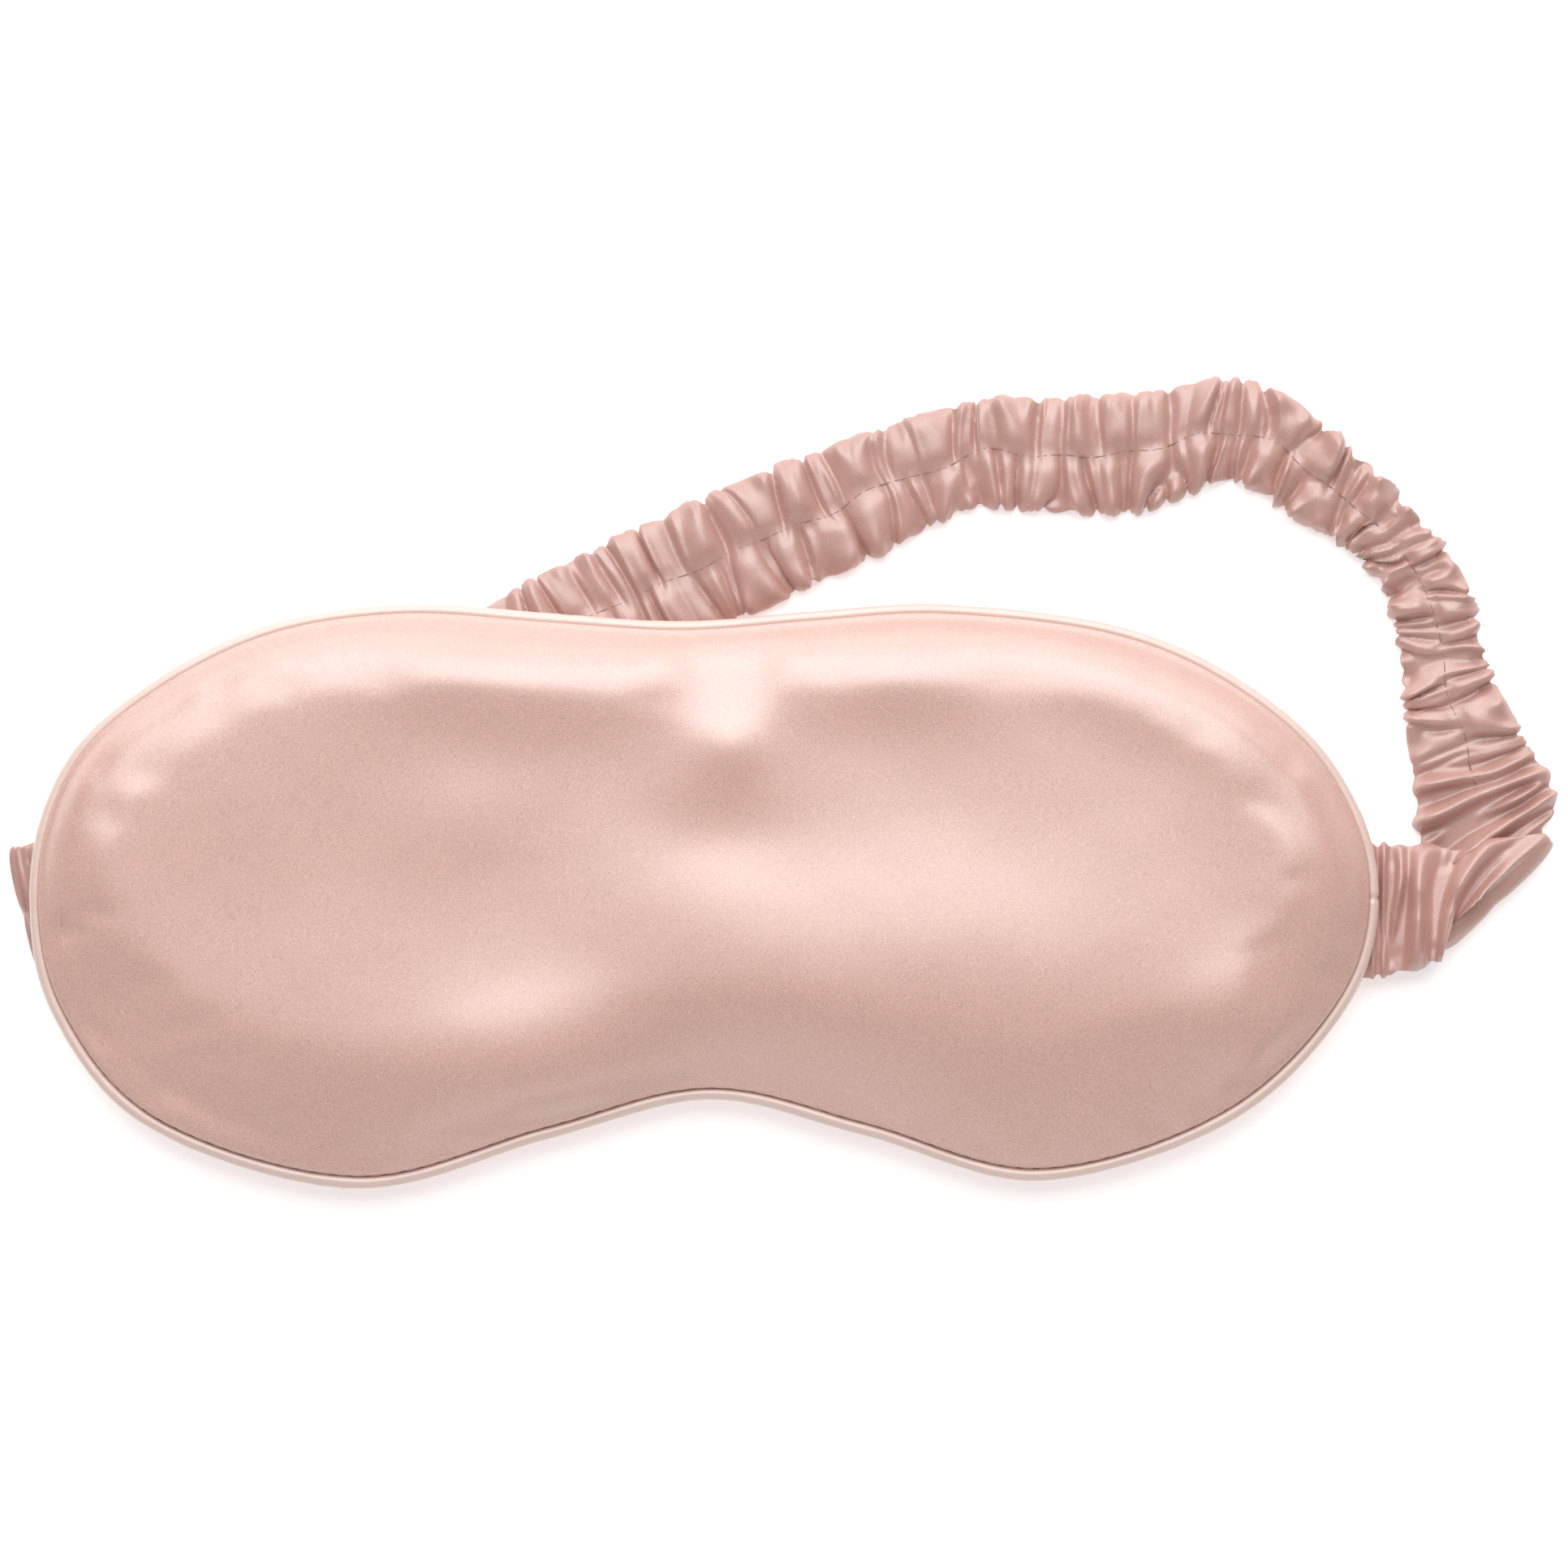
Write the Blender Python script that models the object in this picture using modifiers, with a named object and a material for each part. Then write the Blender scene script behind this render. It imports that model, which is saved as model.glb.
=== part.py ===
"""Padded satin sleep eye mask with a gathered elastic strap, lying on its back with the front face up.

+X runs along the mask's width, +Y towards the forehead edge and +Z out of the front face.
The origin is on the back face, where it rests, at the middle of the mask's width and height.
Lengths below are in millimetres and are turned to metres by MM.
"""

import math

import bmesh
import bpy
from mathutils import Matrix, Vector

MM = 0.001

# Mask body
SEAM_Z = 7.0  # height of the plane of the edge seam
OUTLINE_STEPS = 48  # points round the mask
CURVE_SAMPLES = 24  # on each span of a smooth curve
OUTLINE = [  # outer edge of the piping, anticlockwise from the wearer's right end
    (105.2, 3), (98, 21.1), (83, 34.2), (64, 42.3), (37.5, 45.5), (17, 44.4), (-3, 42.9),
    (-24, 44.1), (-46.5, 45.5), (-68, 42.2), (-87, 32.6), (-99.6, 20.4), (-104.9, 2.5),
    (-101.5, -18), (-86, -36.2), (-54, -45.5), (-24, -37.8), (1, -31.7), (25, -37.2),
    (52.5, -44.3), (82.5, -34.9), (101, -16.2),
]
SPINE_Y = -8.0  # the rings of the panels close in on this line
SPINE_SHRINK = 0.4  # share of its length that a ring loses when it has closed in

# Panels and fillings; a profile is (share of the way in from the seam, height above the seam plane)
PANEL_EDGE_INSET = 2.45
PANEL_THICKNESS = 0.4
FRONT_PROFILE = [(0, 1.35), (0.012, 2.4), (0.05, 4.1), (0.13, 5.7), (0.26, 6.9), (0.5, 7.6), (0.92, 8.0)]
BACK_PROFILE = [(0, -1.35), (0.015, -2.3), (0.06, -4.2), (0.15, -5.8), (0.26, -6.5), (0.36, -6.8),
                (0.5, -6.8), (0.66, -6.8), (0.8, -6.8), (0.92, -6.8)]
FILL_GAP = 0.7  # from the middle of a panel's thickness to its filling
FRONT_FILL = [(0.92, 0.55), (0.23, 0.55), (0.19, 1.25), (0.045, 1.3), (0.07, 3.4), (0.14, 5.0),
              (0.27, 6.1), (0.5, 6.85), (0.92, 7.3)]
BACK_FILL_TOP = [(0.92, -0.55), (0.5, -0.55), (0.2, -0.55)]
BACK_FILL_START = 0.19
INTERLINING_INSET = 3.4
INTERLINING_THICKNESS = 0.4

# Piping
PIPING_RADIUS = 1.2
PIPING_BORE_RADIUS = 0.85
PIPING_LEG_END = 5.5  # how far in the cover's two seam allowances reach
PIPING_LEG_GAP = 0.5  # half of the space between them
PIPING_CORD_RADIUS = 0.55
PIPING_HEAD_ANGLE = 45  # degrees from the seam plane to where an allowance leaves the round head
PIPING_HEAD_STEPS = 6
PIPING_BORE_STEPS = 4
THREAD_RADIUS = 0.17
SEAM_THREAD_INSET = 1.85
SEAM_THREAD_Z = 1.45

# The strap's two edges, station by station: outer edge (x, y), inner edge (x, y), height of the
# middle, half of the thickness. It runs from the left root under the mask, round the free loop
# and back to the right root.
TAB_Z = 4.55
TAB_HALF = 0.9
LIFT_LINE_Y = 47.6  # the free loop bends up along this line, beside the forehead edge
LIFT_GAP = 0.15
STRAP_Z = 1.5
STRAP_HALF = 1.5
CREASE_HALF = 1.1
CREASE_Z = 4.8
CREASE_LOW_Z = 1.15
LEFT_TAB = [
    ((-95.3, 7.6), (-95.3, -12.4), TAB_Z, TAB_HALF),
    ((-102.5, 7.9), (-99.8, -12.9), TAB_Z, TAB_HALF),
]
LEFT_FOLD = ((-106.0, 8.2), (-100.9, -13.3), TAB_Z, TAB_HALF)
LEFT_RUN = [
    ((-98.5, 12.3), (-92.5, -7.2), 0.95, 0.9),
    ((-90.0, 15.9), (-83.5, -1.2), 1.15, 1.1),
    ((-80.0, 21.0), (-72.5, 4.8), STRAP_Z, 1.45),
    ((-65.5, 28.4), (-58.0, 12.4), STRAP_Z, STRAP_HALF),
    ((-52.5, 35.2), (-43.0, 19.8), STRAP_Z, STRAP_HALF),
    ((-43.5, 39.6), (-22.0, 30.4), STRAP_Z, STRAP_HALF),
    ((-36.0, 43.6), (-2.5, 39.6), STRAP_Z, STRAP_HALF),
    ((-29.6, LIFT_LINE_Y - LIFT_GAP), (15.0, LIFT_LINE_Y - LIFT_GAP), STRAP_Z, STRAP_HALF),
]
LOOP = [
    ((-29.2, LIFT_LINE_Y + LIFT_GAP), (15.6, LIFT_LINE_Y + LIFT_GAP), STRAP_Z, STRAP_HALF),
    ((-17.5, 54.2), (21.0, 50.4), STRAP_Z, STRAP_HALF),
    ((-4.5, 60.0), (27.0, 53.8), STRAP_Z, STRAP_HALF),
    ((8.5, 65.6), (33.0, 57.2), STRAP_Z, STRAP_HALF),
    ((22.0, 71.0), (38.0, 60.0), STRAP_Z, STRAP_HALF),
    ((34.0, 75.2), (41.5, 60.8), STRAP_Z, STRAP_HALF),
    ((46.0, 77.8), (46.5, 60.4), STRAP_Z, STRAP_HALF),
    ((57.0, 78.1), (57.5, 60.0), STRAP_Z, STRAP_HALF),
    ((67.0, 78.4), (67.5, 60.4), STRAP_Z, STRAP_HALF),
    ((76.0, 80.0), (75.0, 63.2), STRAP_Z, STRAP_HALF),
    ((85.0, 80.5), (81.5, 65.2), STRAP_Z, STRAP_HALF),
    ((92.5, 77.2), (86.5, 63.8), STRAP_Z, STRAP_HALF),
    ((99.0, 72.3), (91.5, 60.0), STRAP_Z, STRAP_HALF),
    ((105.5, 66.6), (97.5, 56.3), STRAP_Z, STRAP_HALF),
    ((111.8, 59.6), (102.5, 52.4), STRAP_Z, STRAP_HALF),
    ((116.8, 53.0), (106.0, 49.2), STRAP_Z, STRAP_HALF),
    ((119.6, LIFT_LINE_Y + LIFT_GAP), (107.2, LIFT_LINE_Y + LIFT_GAP), STRAP_Z, STRAP_HALF),
]
RIGHT_RUN = [
    ((119.7, LIFT_LINE_Y - LIFT_GAP), (107.3, LIFT_LINE_Y - LIFT_GAP), STRAP_Z, STRAP_HALF),
    ((121.9, 39.6), (108.8, 37.4), STRAP_Z, STRAP_HALF),
    ((124.6, 31.4), (110.2, 27.6), STRAP_Z, STRAP_HALF),
    ((128.4, 23.8), (111.4, 17.6), STRAP_Z, STRAP_HALF),
    ((131.0, 18.6), (112.3, 8.4), 1.35, 1.3),
]
RIGHT_FOLD = ((130.3, 13.8), (112.6, -7.6), CREASE_Z, CREASE_HALF)
RIGHT_TAB = [
    ((118.0, 9.6), (109.6, -10.4), 4.7, 1.0),
    ((109.5, 8.4), (106.8, -12.2), TAB_Z, TAB_HALF),
    ((103.0, 8.2), (103.0, -12.5), TAB_Z, TAB_HALF),
    ((95.3, 8.2), (95.3, -12.5), TAB_Z, TAB_HALF),
]
FOLD_STEPS = 6
CASING_WALL = 0.3
CASING_SIDES = 12
CASING_ROUNDNESS = (0.4, 0.6)  # of its section, across and through; 1 is an ellipse, 0 a rectangle
ELASTIC_SHARE = 0.62  # of the casing's width
ELASTIC_HALF = 0.3
STITCH_RISE = 0.5  # centre of the stitching above the casing
TACK_SIZE = (0.9, 12.0, 0.4)
TACK_X = 96.3
TACK_Y = -2.3
TACK_Z = 6.0

# Clearance under the mask for the strap
CHANNEL_START = (-103.6, -2.6)
CHANNEL_END = (-6.3, 47.6)
CHANNEL_HALF_WIDTH = 13.0
CHANNEL_FADE = 7.0
CHANNEL_LOW = 2.4  # height of the middle of the back panel at the left root
CHANNEL_HIGH = 4.7  # and further in
CHANNEL_RISE_X = (-99.0, -86.0)
ROOT_DROP = 2.5  # how far the back panel's edge dips to let a strap end into the seam
ROOT_DROP_X = (88.0, 98.0)
ROOT_DROP_SHARE = 0.1  # share of the way in at which the dip has faded out

# Joint
LIFT_AXIS_X = 50.0
LIFT_AXIS_Z = 3.15

# Materials: colour (linear RGB) and roughness
MATERIALS = {
    "satin": ((0.62, 0.36, 0.32), 0.35),
    "piping_satin": ((0.78, 0.56, 0.49), 0.35),
    "thread": ((0.50, 0.26, 0.25), 0.6),
    "wadding": ((0.86, 0.84, 0.80), 0.95),
    "blackout_cloth": ((0.03, 0.03, 0.035), 0.9),
    "elastic": ((0.80, 0.78, 0.74), 0.8),
}


def clear_scene():
    for obj in list(bpy.data.objects):
        bpy.data.objects.remove(obj, do_unlink=True)


def new_collection(name):
    collection = bpy.data.collections.new(name)
    bpy.context.scene.collection.children.link(collection)
    return collection


def new_material(name, colour, roughness):
    material = bpy.data.materials.new(name)
    material.use_nodes = True
    shader = material.node_tree.nodes["Principled BSDF"]
    shader.inputs["Base Color"].default_value = (*colour, 1)
    shader.inputs["Roughness"].default_value = roughness
    shader.inputs["Metallic"].default_value = 0
    return material


def smooth(value, low, high):
    """0 below low, 1 above high, with a smooth step between."""
    t = min(max((value - low) / (high - low), 0), 1)
    return t * t * (3 - 2 * t)


def mix(a, b, t):
    return a + (b - a) * t


def even_closed_curve(points, count):
    """count points evenly spaced along the closed Catmull-Rom curve through points."""
    fine = []
    knots = [Vector(p) for p in points]
    for i, p1 in enumerate(knots):
        p0 = knots[i - 1]
        p2 = knots[(i + 1) % len(knots)]
        p3 = knots[(i + 2) % len(knots)]
        for k in range(CURVE_SAMPLES):
            t = k / CURVE_SAMPLES
            fine.append(
                p1
                + (p2 - p0) * (t / 2)
                + (2 * p0 - 5 * p1 + 4 * p2 - p3) * (t * t / 2)
                + (3 * p1 - p0 - 3 * p2 + p3) * (t**3 / 2)
            )
    fine.append(fine[0])
    lengths = [0]
    for a, b in zip(fine, fine[1:]):
        lengths.append(lengths[-1] + (b - a).length)
    spaced = []
    at = 0
    for k in range(count):
        want = lengths[-1] * k / count
        while lengths[at + 1] < want:
            at += 1
        share = (want - lengths[at]) / (lengths[at + 1] - lengths[at])
        spaced.append(fine[at].lerp(fine[at + 1], share))
    return spaced


def inset_ring(outline, distance):
    """The outline moved inwards along its normals."""
    ring = []
    for i, p in enumerate(outline):
        along = (outline[(i + 1) % len(outline)] - outline[i - 1]).normalized()
        ring.append(p + Vector((-along.y, along.x)) * distance)
    return ring


def shrunk_ring(edge, share):
    """The panel edge closed in on the mask's long middle line by a share of the way."""
    return [Vector((p.x * (1 - SPINE_SHRINK * share), mix(p.y, SPINE_Y, share))) for p in edge]


def to_world(x, y, z):
    return Vector((x, y, z)) * MM


def finish_object(name, mesh, material, collection):
    for polygon in mesh.polygons:
        polygon.use_smooth = True
    mesh.materials.append(material)
    obj = bpy.data.objects.new(name, mesh)
    collection.objects.link(obj)
    return obj


def mesh_from_rings(name, rings, material, collection, close_rings=False, caps=True):
    """A loft through rings of equal point counts. close_rings joins the last ring to the first."""
    bm = bmesh.new()
    loops = [[bm.verts.new(p) for p in ring] for ring in rings]
    pairs = list(zip(loops, loops[1:]))
    if close_rings:
        pairs.append((loops[-1], loops[0]))
    for a, b in pairs:
        for i in range(len(a)):
            j = (i + 1) % len(a)
            bm.faces.new((a[i], a[j], b[j]))
            bm.faces.new((a[i], b[j], b[i]))
    if caps:
        bm.faces.new(loops[-1])
        bm.faces.new(list(reversed(loops[0])))
    bmesh.ops.recalc_face_normals(bm, faces=bm.faces)
    mesh = bpy.data.meshes.new(name)
    bm.to_mesh(mesh)
    bm.free()
    return finish_object(name, mesh, material, collection)


def add_shell(obj, thickness, offset):
    shell = obj.modifiers.new("Thickness", "SOLIDIFY")
    shell.thickness = thickness * MM
    shell.offset = offset
    return obj


def root_drop(x, share):
    """How far the back panel dips at a strap root, fading out inwards."""
    return ROOT_DROP * smooth(abs(x), *ROOT_DROP_X) * (1 - smooth(share, 0, ROOT_DROP_SHARE))


def channel_height(x, y):
    """(height of the back panel over the strap, how much of it applies) at a place."""
    start, end = Vector(CHANNEL_START), Vector(CHANNEL_END)
    along = (end - start).normalized()
    offset = Vector((x, y)) - start
    away = abs(along.x * offset.y - along.y * offset.x)
    share = 1 - smooth(away, CHANNEL_HALF_WIDTH, CHANNEL_HALF_WIDTH + CHANNEL_FADE)
    return mix(CHANNEL_LOW, CHANNEL_HIGH, smooth(x, *CHANNEL_RISE_X)), share


def back_height(x, y, share, profile_z):
    """Height of the middle of the back panel."""
    plain = SEAM_Z + profile_z - root_drop(x, share)
    raised, weight = channel_height(x, y)
    return mix(plain, max(plain, raised), weight)


def profile_ring(edge, share, height):
    return [to_world(p.x, p.y, SEAM_Z + height) for p in shrunk_ring(edge, share)]


def back_ring(edge, share, height, rise=0.0):
    ring = []
    for p in shrunk_ring(edge, share):
        ring.append(to_world(p.x, p.y, back_height(p.x, p.y, share, height) + rise))
    return ring


def make_front_panel(edge, material, collection):
    rings = [profile_ring(edge, share, height) for share, height in FRONT_PROFILE]
    panel = mesh_from_rings("front_panel", rings, material, collection, caps=False)
    fill_last_ring(panel, len(edge))
    return add_shell(panel, PANEL_THICKNESS, 0)


def make_back_panel(edge, material, collection):
    rings = [back_ring(edge, share, height) for share, height in BACK_PROFILE]
    panel = mesh_from_rings("back_panel", rings, material, collection, caps=False)
    fill_last_ring(panel, len(edge))
    return add_shell(panel, PANEL_THICKNESS, 0)


def fill_last_ring(obj, count):
    """Closes the flat middle of a panel."""
    bm = bmesh.new()
    bm.from_mesh(obj.data)
    bm.verts.ensure_lookup_table()
    bm.faces.new(bm.verts[-count:])
    bmesh.ops.recalc_face_normals(bm, faces=bm.faces)
    for face in bm.faces:
        face.smooth = True
    bm.to_mesh(obj.data)
    bm.free()


def make_front_wadding(edge, material, collection):
    rings = [profile_ring(edge, share, height) for share, height in FRONT_FILL]
    return mesh_from_rings("front_wadding", rings, material, collection)


def make_back_wadding(edge, material, collection):
    rings = [profile_ring(edge, share, height) for share, height in BACK_FILL_TOP]
    for share, height in BACK_PROFILE:
        if share > BACK_FILL_START:
            rings.append(back_ring(edge, share, height, FILL_GAP))
    return mesh_from_rings("back_wadding", rings, material, collection)


def flat_sheet(name, ring, height, thickness, material, collection):
    """A closed flat outline with a thickness, as a filled 2D curve."""
    curve = bpy.data.curves.new(name, "CURVE")
    curve.dimensions = "2D"
    curve.fill_mode = "BOTH"
    curve.extrude = thickness * MM / 2
    spline = curve.splines.new("POLY")
    spline.points.add(len(ring) - 1)
    for point, p in zip(spline.points, ring):
        point.co = (*to_world(p.x, p.y, 0), 1)
    spline.use_cyclic_u = True
    curve.materials.append(material)
    obj = bpy.data.objects.new(name, curve)
    obj.location = to_world(0, 0, height)
    collection.objects.link(obj)
    return obj


def thread_curve(name, points, radius, material, collection, cyclic=False):
    """A thin round tube along points that are in metres."""
    curve = bpy.data.curves.new(name, "CURVE")
    curve.dimensions = "3D"
    curve.bevel_depth = radius * MM
    curve.bevel_resolution = 1
    curve.use_fill_caps = not cyclic
    spline = curve.splines.new("POLY")
    spline.points.add(len(points) - 1)
    for point, p in zip(spline.points, points):
        point.co = (*p, 1)
    spline.use_cyclic_u = cyclic
    curve.materials.append(material)
    obj = bpy.data.objects.new(name, curve)
    collection.objects.link(obj)
    return obj


def piping_section():
    """(inset, height) round the cover: a keyhole with a round head and two flat allowances."""
    start = math.radians(PIPING_HEAD_ANGLE)
    leg_top = PIPING_RADIUS * math.sin(start)
    outer_turn = [
        mix(start, 2 * math.pi - start, k / PIPING_HEAD_STEPS) for k in range(PIPING_HEAD_STEPS + 1)
    ]
    mouth = math.asin(PIPING_LEG_GAP / PIPING_BORE_RADIUS)
    inner_turn = [
        mix(2 * math.pi - mouth, mouth, k / PIPING_BORE_STEPS) for k in range(PIPING_BORE_STEPS + 1)
    ]
    section = [(PIPING_LEG_END, leg_top)]
    for a in outer_turn:
        section.append((PIPING_RADIUS * (1 + math.cos(a)), PIPING_RADIUS * math.sin(a)))
    section += [(PIPING_LEG_END, -leg_top), (PIPING_LEG_END, -PIPING_LEG_GAP)]
    for a in inner_turn:
        section.append((PIPING_RADIUS + PIPING_BORE_RADIUS * math.cos(a), PIPING_BORE_RADIUS * math.sin(a)))
    section.append((PIPING_LEG_END, PIPING_LEG_GAP))
    return section


def make_piping_cover(outline, material, collection):
    section = piping_section()
    insets = [inset_ring(outline, inset) for inset, _ in section]
    rings = []
    for i in range(len(outline)):
        rings.append([to_world(*insets[k][i], SEAM_Z + z) for k, (_, z) in enumerate(section)])
    return mesh_from_rings("piping_cover", rings, material, collection, close_rings=True, caps=False)


def fold(station, low_z, low_half, outwards):
    """Stations round a half turn, from the upper layer down to the lower one."""
    upper, lower, high_z, high_half = station
    rib = (Vector(upper) - Vector(lower)).normalized()
    way = Vector((rib.y, -rib.x)) * outwards
    radius = (high_z - low_z) / 2
    stations = []
    for k in range(FOLD_STEPS + 1):
        turn = math.pi * k / FOLD_STEPS
        shift = way * radius * math.sin(turn)
        z = low_z + radius * (1 + math.cos(turn))
        half = mix(high_half, low_half, k / FOLD_STEPS)
        stations.append((Vector(upper) + shift, Vector(lower) + shift, z, half))
    return stations


def strap_frames(stations, first_normal):
    """Centre, half rib and unit normal at each station, the normal kept on one side."""
    centres = []
    ribs = []
    for upper, lower, z, _ in stations:
        centres.append((Vector((*upper, z)) + Vector((*lower, z))) / 2)
        ribs.append((Vector((*upper, z)) - Vector((*lower, z))) / 2)
    frames = []
    normal = Vector((0, 0, first_normal))
    for i, (centre, rib) in enumerate(zip(centres, ribs)):
        before = centres[max(i - 1, 0)]
        after = centres[min(i + 1, len(centres) - 1)]
        turned = rib.cross(after - before).normalized()
        if turned.dot(normal) < 0:
            turned.negate()
        normal = turned
        frames.append((centre, rib, normal))
    return frames


def strap_section(centre, rib, normal, half):
    """A flattened round section across the strap."""
    power_across, power_through = CASING_ROUNDNESS
    ring = []
    for k in range(CASING_SIDES):
        a = 2 * math.pi * (k + 0.5) / CASING_SIDES
        across = math.copysign(abs(math.cos(a)) ** power_across, math.cos(a))
        through = math.copysign(abs(math.sin(a)) ** power_through, math.sin(a))
        ring.append((centre + rib * across + normal * half * through) * MM)
    return ring


def make_casing(name, stations, first_normal, material, collection):
    rings = []
    for (centre, rib, normal), station in zip(strap_frames(stations, first_normal), stations):
        rings.append(strap_section(centre, rib, normal, station[3]))
    casing = mesh_from_rings(name, rings, material, collection, caps=False)
    return add_shell(casing, CASING_WALL, -1)


def make_elastic(name, stations, first_normal, material, collection):
    rings = []
    for centre, rib, normal in strap_frames(stations, first_normal):
        side = rib * ELASTIC_SHARE
        rise = normal * ELASTIC_HALF
        corners = (centre + side + rise, centre - side + rise, centre - side - rise, centre + side - rise)
        rings.append([corner * MM for corner in corners])
    return mesh_from_rings(name, rings, material, collection)


def make_stitching(name, stations, material, collection):
    points = []
    for upper, lower, z, half in stations:
        middle = (Vector(upper) + Vector(lower)) / 2
        points.append(to_world(middle.x, middle.y, z + half + STITCH_RISE))
    return thread_curve(name, points, THREAD_RADIUS, material, collection)


def make_tack(name, side, material, collection):
    """A bar of thread across the strap end, inside the seam."""
    bpy.ops.mesh.primitive_cube_add(size=1, location=to_world(side * TACK_X, TACK_Y, TACK_Z))
    tack = bpy.context.active_object
    tack.name = name
    tack.data.transform(Matrix.Diagonal((*(length * MM for length in TACK_SIZE), 1)))
    tack.data.materials.append(material)
    for owner in list(tack.users_collection):
        owner.objects.unlink(tack)
    collection.objects.link(tack)
    return tack


def hang_on_joint(objects, collection):
    """An empty on the lift line carries the free loop."""
    axis = bpy.data.objects.new("strap_lift_axis", None)
    axis.location = to_world(LIFT_AXIS_X, LIFT_LINE_Y, LIFT_AXIS_Z)
    collection.objects.link(axis)
    bpy.context.view_layer.update()
    for obj in objects:
        obj.parent = axis
        obj.matrix_parent_inverse = axis.matrix_world.inverted()


def build_mask_body(parts, looks):
    satin = looks["satin"]
    wadding = looks["wadding"]
    thread = looks["thread"]
    blackout = looks["blackout_cloth"]
    outline = even_closed_curve(OUTLINE, OUTLINE_STEPS)
    edge = inset_ring(outline, PANEL_EDGE_INSET)
    make_front_panel(edge, satin, parts)
    make_front_wadding(edge, wadding, parts)
    sheet = inset_ring(outline, INTERLINING_INSET)
    flat_sheet("blackout_interlining", sheet, SEAM_Z, INTERLINING_THICKNESS, blackout, parts)
    make_back_wadding(edge, wadding, parts)
    make_back_panel(edge, satin, parts)
    make_piping_cover(outline, looks["piping_satin"], parts)
    cord = [to_world(p.x, p.y, SEAM_Z) for p in inset_ring(outline, PIPING_RADIUS)]
    thread_curve("piping_cord", cord, PIPING_CORD_RADIUS, wadding, parts, cyclic=True)
    seam = [to_world(p.x, p.y, SEAM_Z + SEAM_THREAD_Z) for p in inset_ring(outline, SEAM_THREAD_INSET)]
    thread_curve("edge_seam_thread", seam, THREAD_RADIUS, thread, parts, cyclic=True)
    make_tack("left_strap_tack", -1, thread, parts)
    make_tack("right_strap_tack", 1, thread, parts)


def build_strap(parts, looks):
    satin = looks["satin"]
    thread = looks["thread"]
    elastic = looks["elastic"]
    left = LEFT_TAB + fold(LEFT_FOLD, TAB_HALF, TAB_HALF, -1) + LEFT_RUN
    right = RIGHT_RUN + fold(RIGHT_FOLD, CREASE_LOW_Z, CREASE_HALF, 1)[::-1] + RIGHT_TAB
    make_casing("strap_casing_left", left, -1, satin, parts)
    make_elastic("strap_elastic_left", left, -1, elastic, parts)
    make_stitching("strap_stitching_left", LEFT_RUN[2:], thread, parts)
    make_casing("strap_casing_right", right, 1, satin, parts)
    make_elastic("strap_elastic_right", right, 1, elastic, parts)
    make_stitching("strap_stitching_right", RIGHT_RUN[:4], thread, parts)
    loop = [
        make_casing("strap_casing_loop", LOOP, 1, satin, parts),
        make_elastic("strap_elastic_loop", LOOP, 1, elastic, parts),
        make_stitching("strap_stitching_loop", LOOP, thread, parts),
    ]
    hang_on_joint(loop, parts)


def main():
    clear_scene()
    parts = new_collection("sleep_eye_mask")
    looks = {name: new_material(name, *look) for name, look in MATERIALS.items()}
    build_mask_body(parts, looks)
    build_strap(parts, looks)


main()
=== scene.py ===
"""Looks of the padded satin sleep eye mask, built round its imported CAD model.

+X runs along the mask's width, +Y towards the forehead edge and +Z out of the front face. The mask
lies on its back at z = 0. Shapes are worked out in millimetres and turned to metres by MM.
"""

import math

import bmesh
import bpy
import numpy as np
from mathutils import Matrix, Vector


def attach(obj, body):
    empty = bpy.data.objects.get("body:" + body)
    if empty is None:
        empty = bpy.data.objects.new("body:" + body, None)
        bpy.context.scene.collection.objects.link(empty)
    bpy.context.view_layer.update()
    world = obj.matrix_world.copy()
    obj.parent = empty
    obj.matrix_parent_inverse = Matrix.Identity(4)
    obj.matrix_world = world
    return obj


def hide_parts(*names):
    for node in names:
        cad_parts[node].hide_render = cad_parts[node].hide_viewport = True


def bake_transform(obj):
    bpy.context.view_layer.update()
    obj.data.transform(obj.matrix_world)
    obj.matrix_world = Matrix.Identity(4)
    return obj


MM = 0.001

# Curves and random fields
CURVE_SAMPLES = 40  # between two points of an outline
FINE_POINTS = 1440  # round the outline, for measuring how far from it a place is
BLOCK = 2000  # places measured at a time
WAVES = 16  # summed in a random field
WAVE_SPREAD = (0.7, 1.6)  # of their wavelengths, as shares of the field's
WAVE_SCALE = 3.4  # brings their sum to a size of about 1

# Mask outline: outer edge of the piping, anticlockwise from the wearer's right end
OUTLINE = [
    (105.2, 3), (98, 21.1), (83, 34.2), (64, 42.3), (37.5, 45.5), (17, 44.4), (-3, 42.9),
    (-24, 44.1), (-46.5, 45.5), (-68, 42.2), (-87, 32.6), (-99.6, 20.4), (-104.9, 2.5),
    (-101.5, -18), (-86, -36.2), (-54, -45.5), (-24, -37.8), (1, -31.7), (25, -37.2),
    (52.5, -44.3), (82.5, -34.9), (101, -16.2),
]
RING_POINTS = 176  # round the panel's edge before it is subdivided
CROSS_STEPS = 34  # from the upper edge to the lower one
EDGE_TUCK = ((2.35, 0.15), (2.0, 0.7), (1.95, 1.4))  # (inset, height from the seam) under the edge roll
EDGE_INSETS = (2.2, 2.7, 3.5, 5.0)
OVERHANG = 0.7  # of the front panel over the piping, towards the forehead edge
OVERHANG_Y = (-35.0, 15.0)
OVERHANG_SHARES = (0.0, 0.25, 0.95, 1.0, 0.7, 0.3, 0.0)  # one for each ring of the edge
SEAM_Z = 7.0
PANEL_THICKNESS = 0.35

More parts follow.
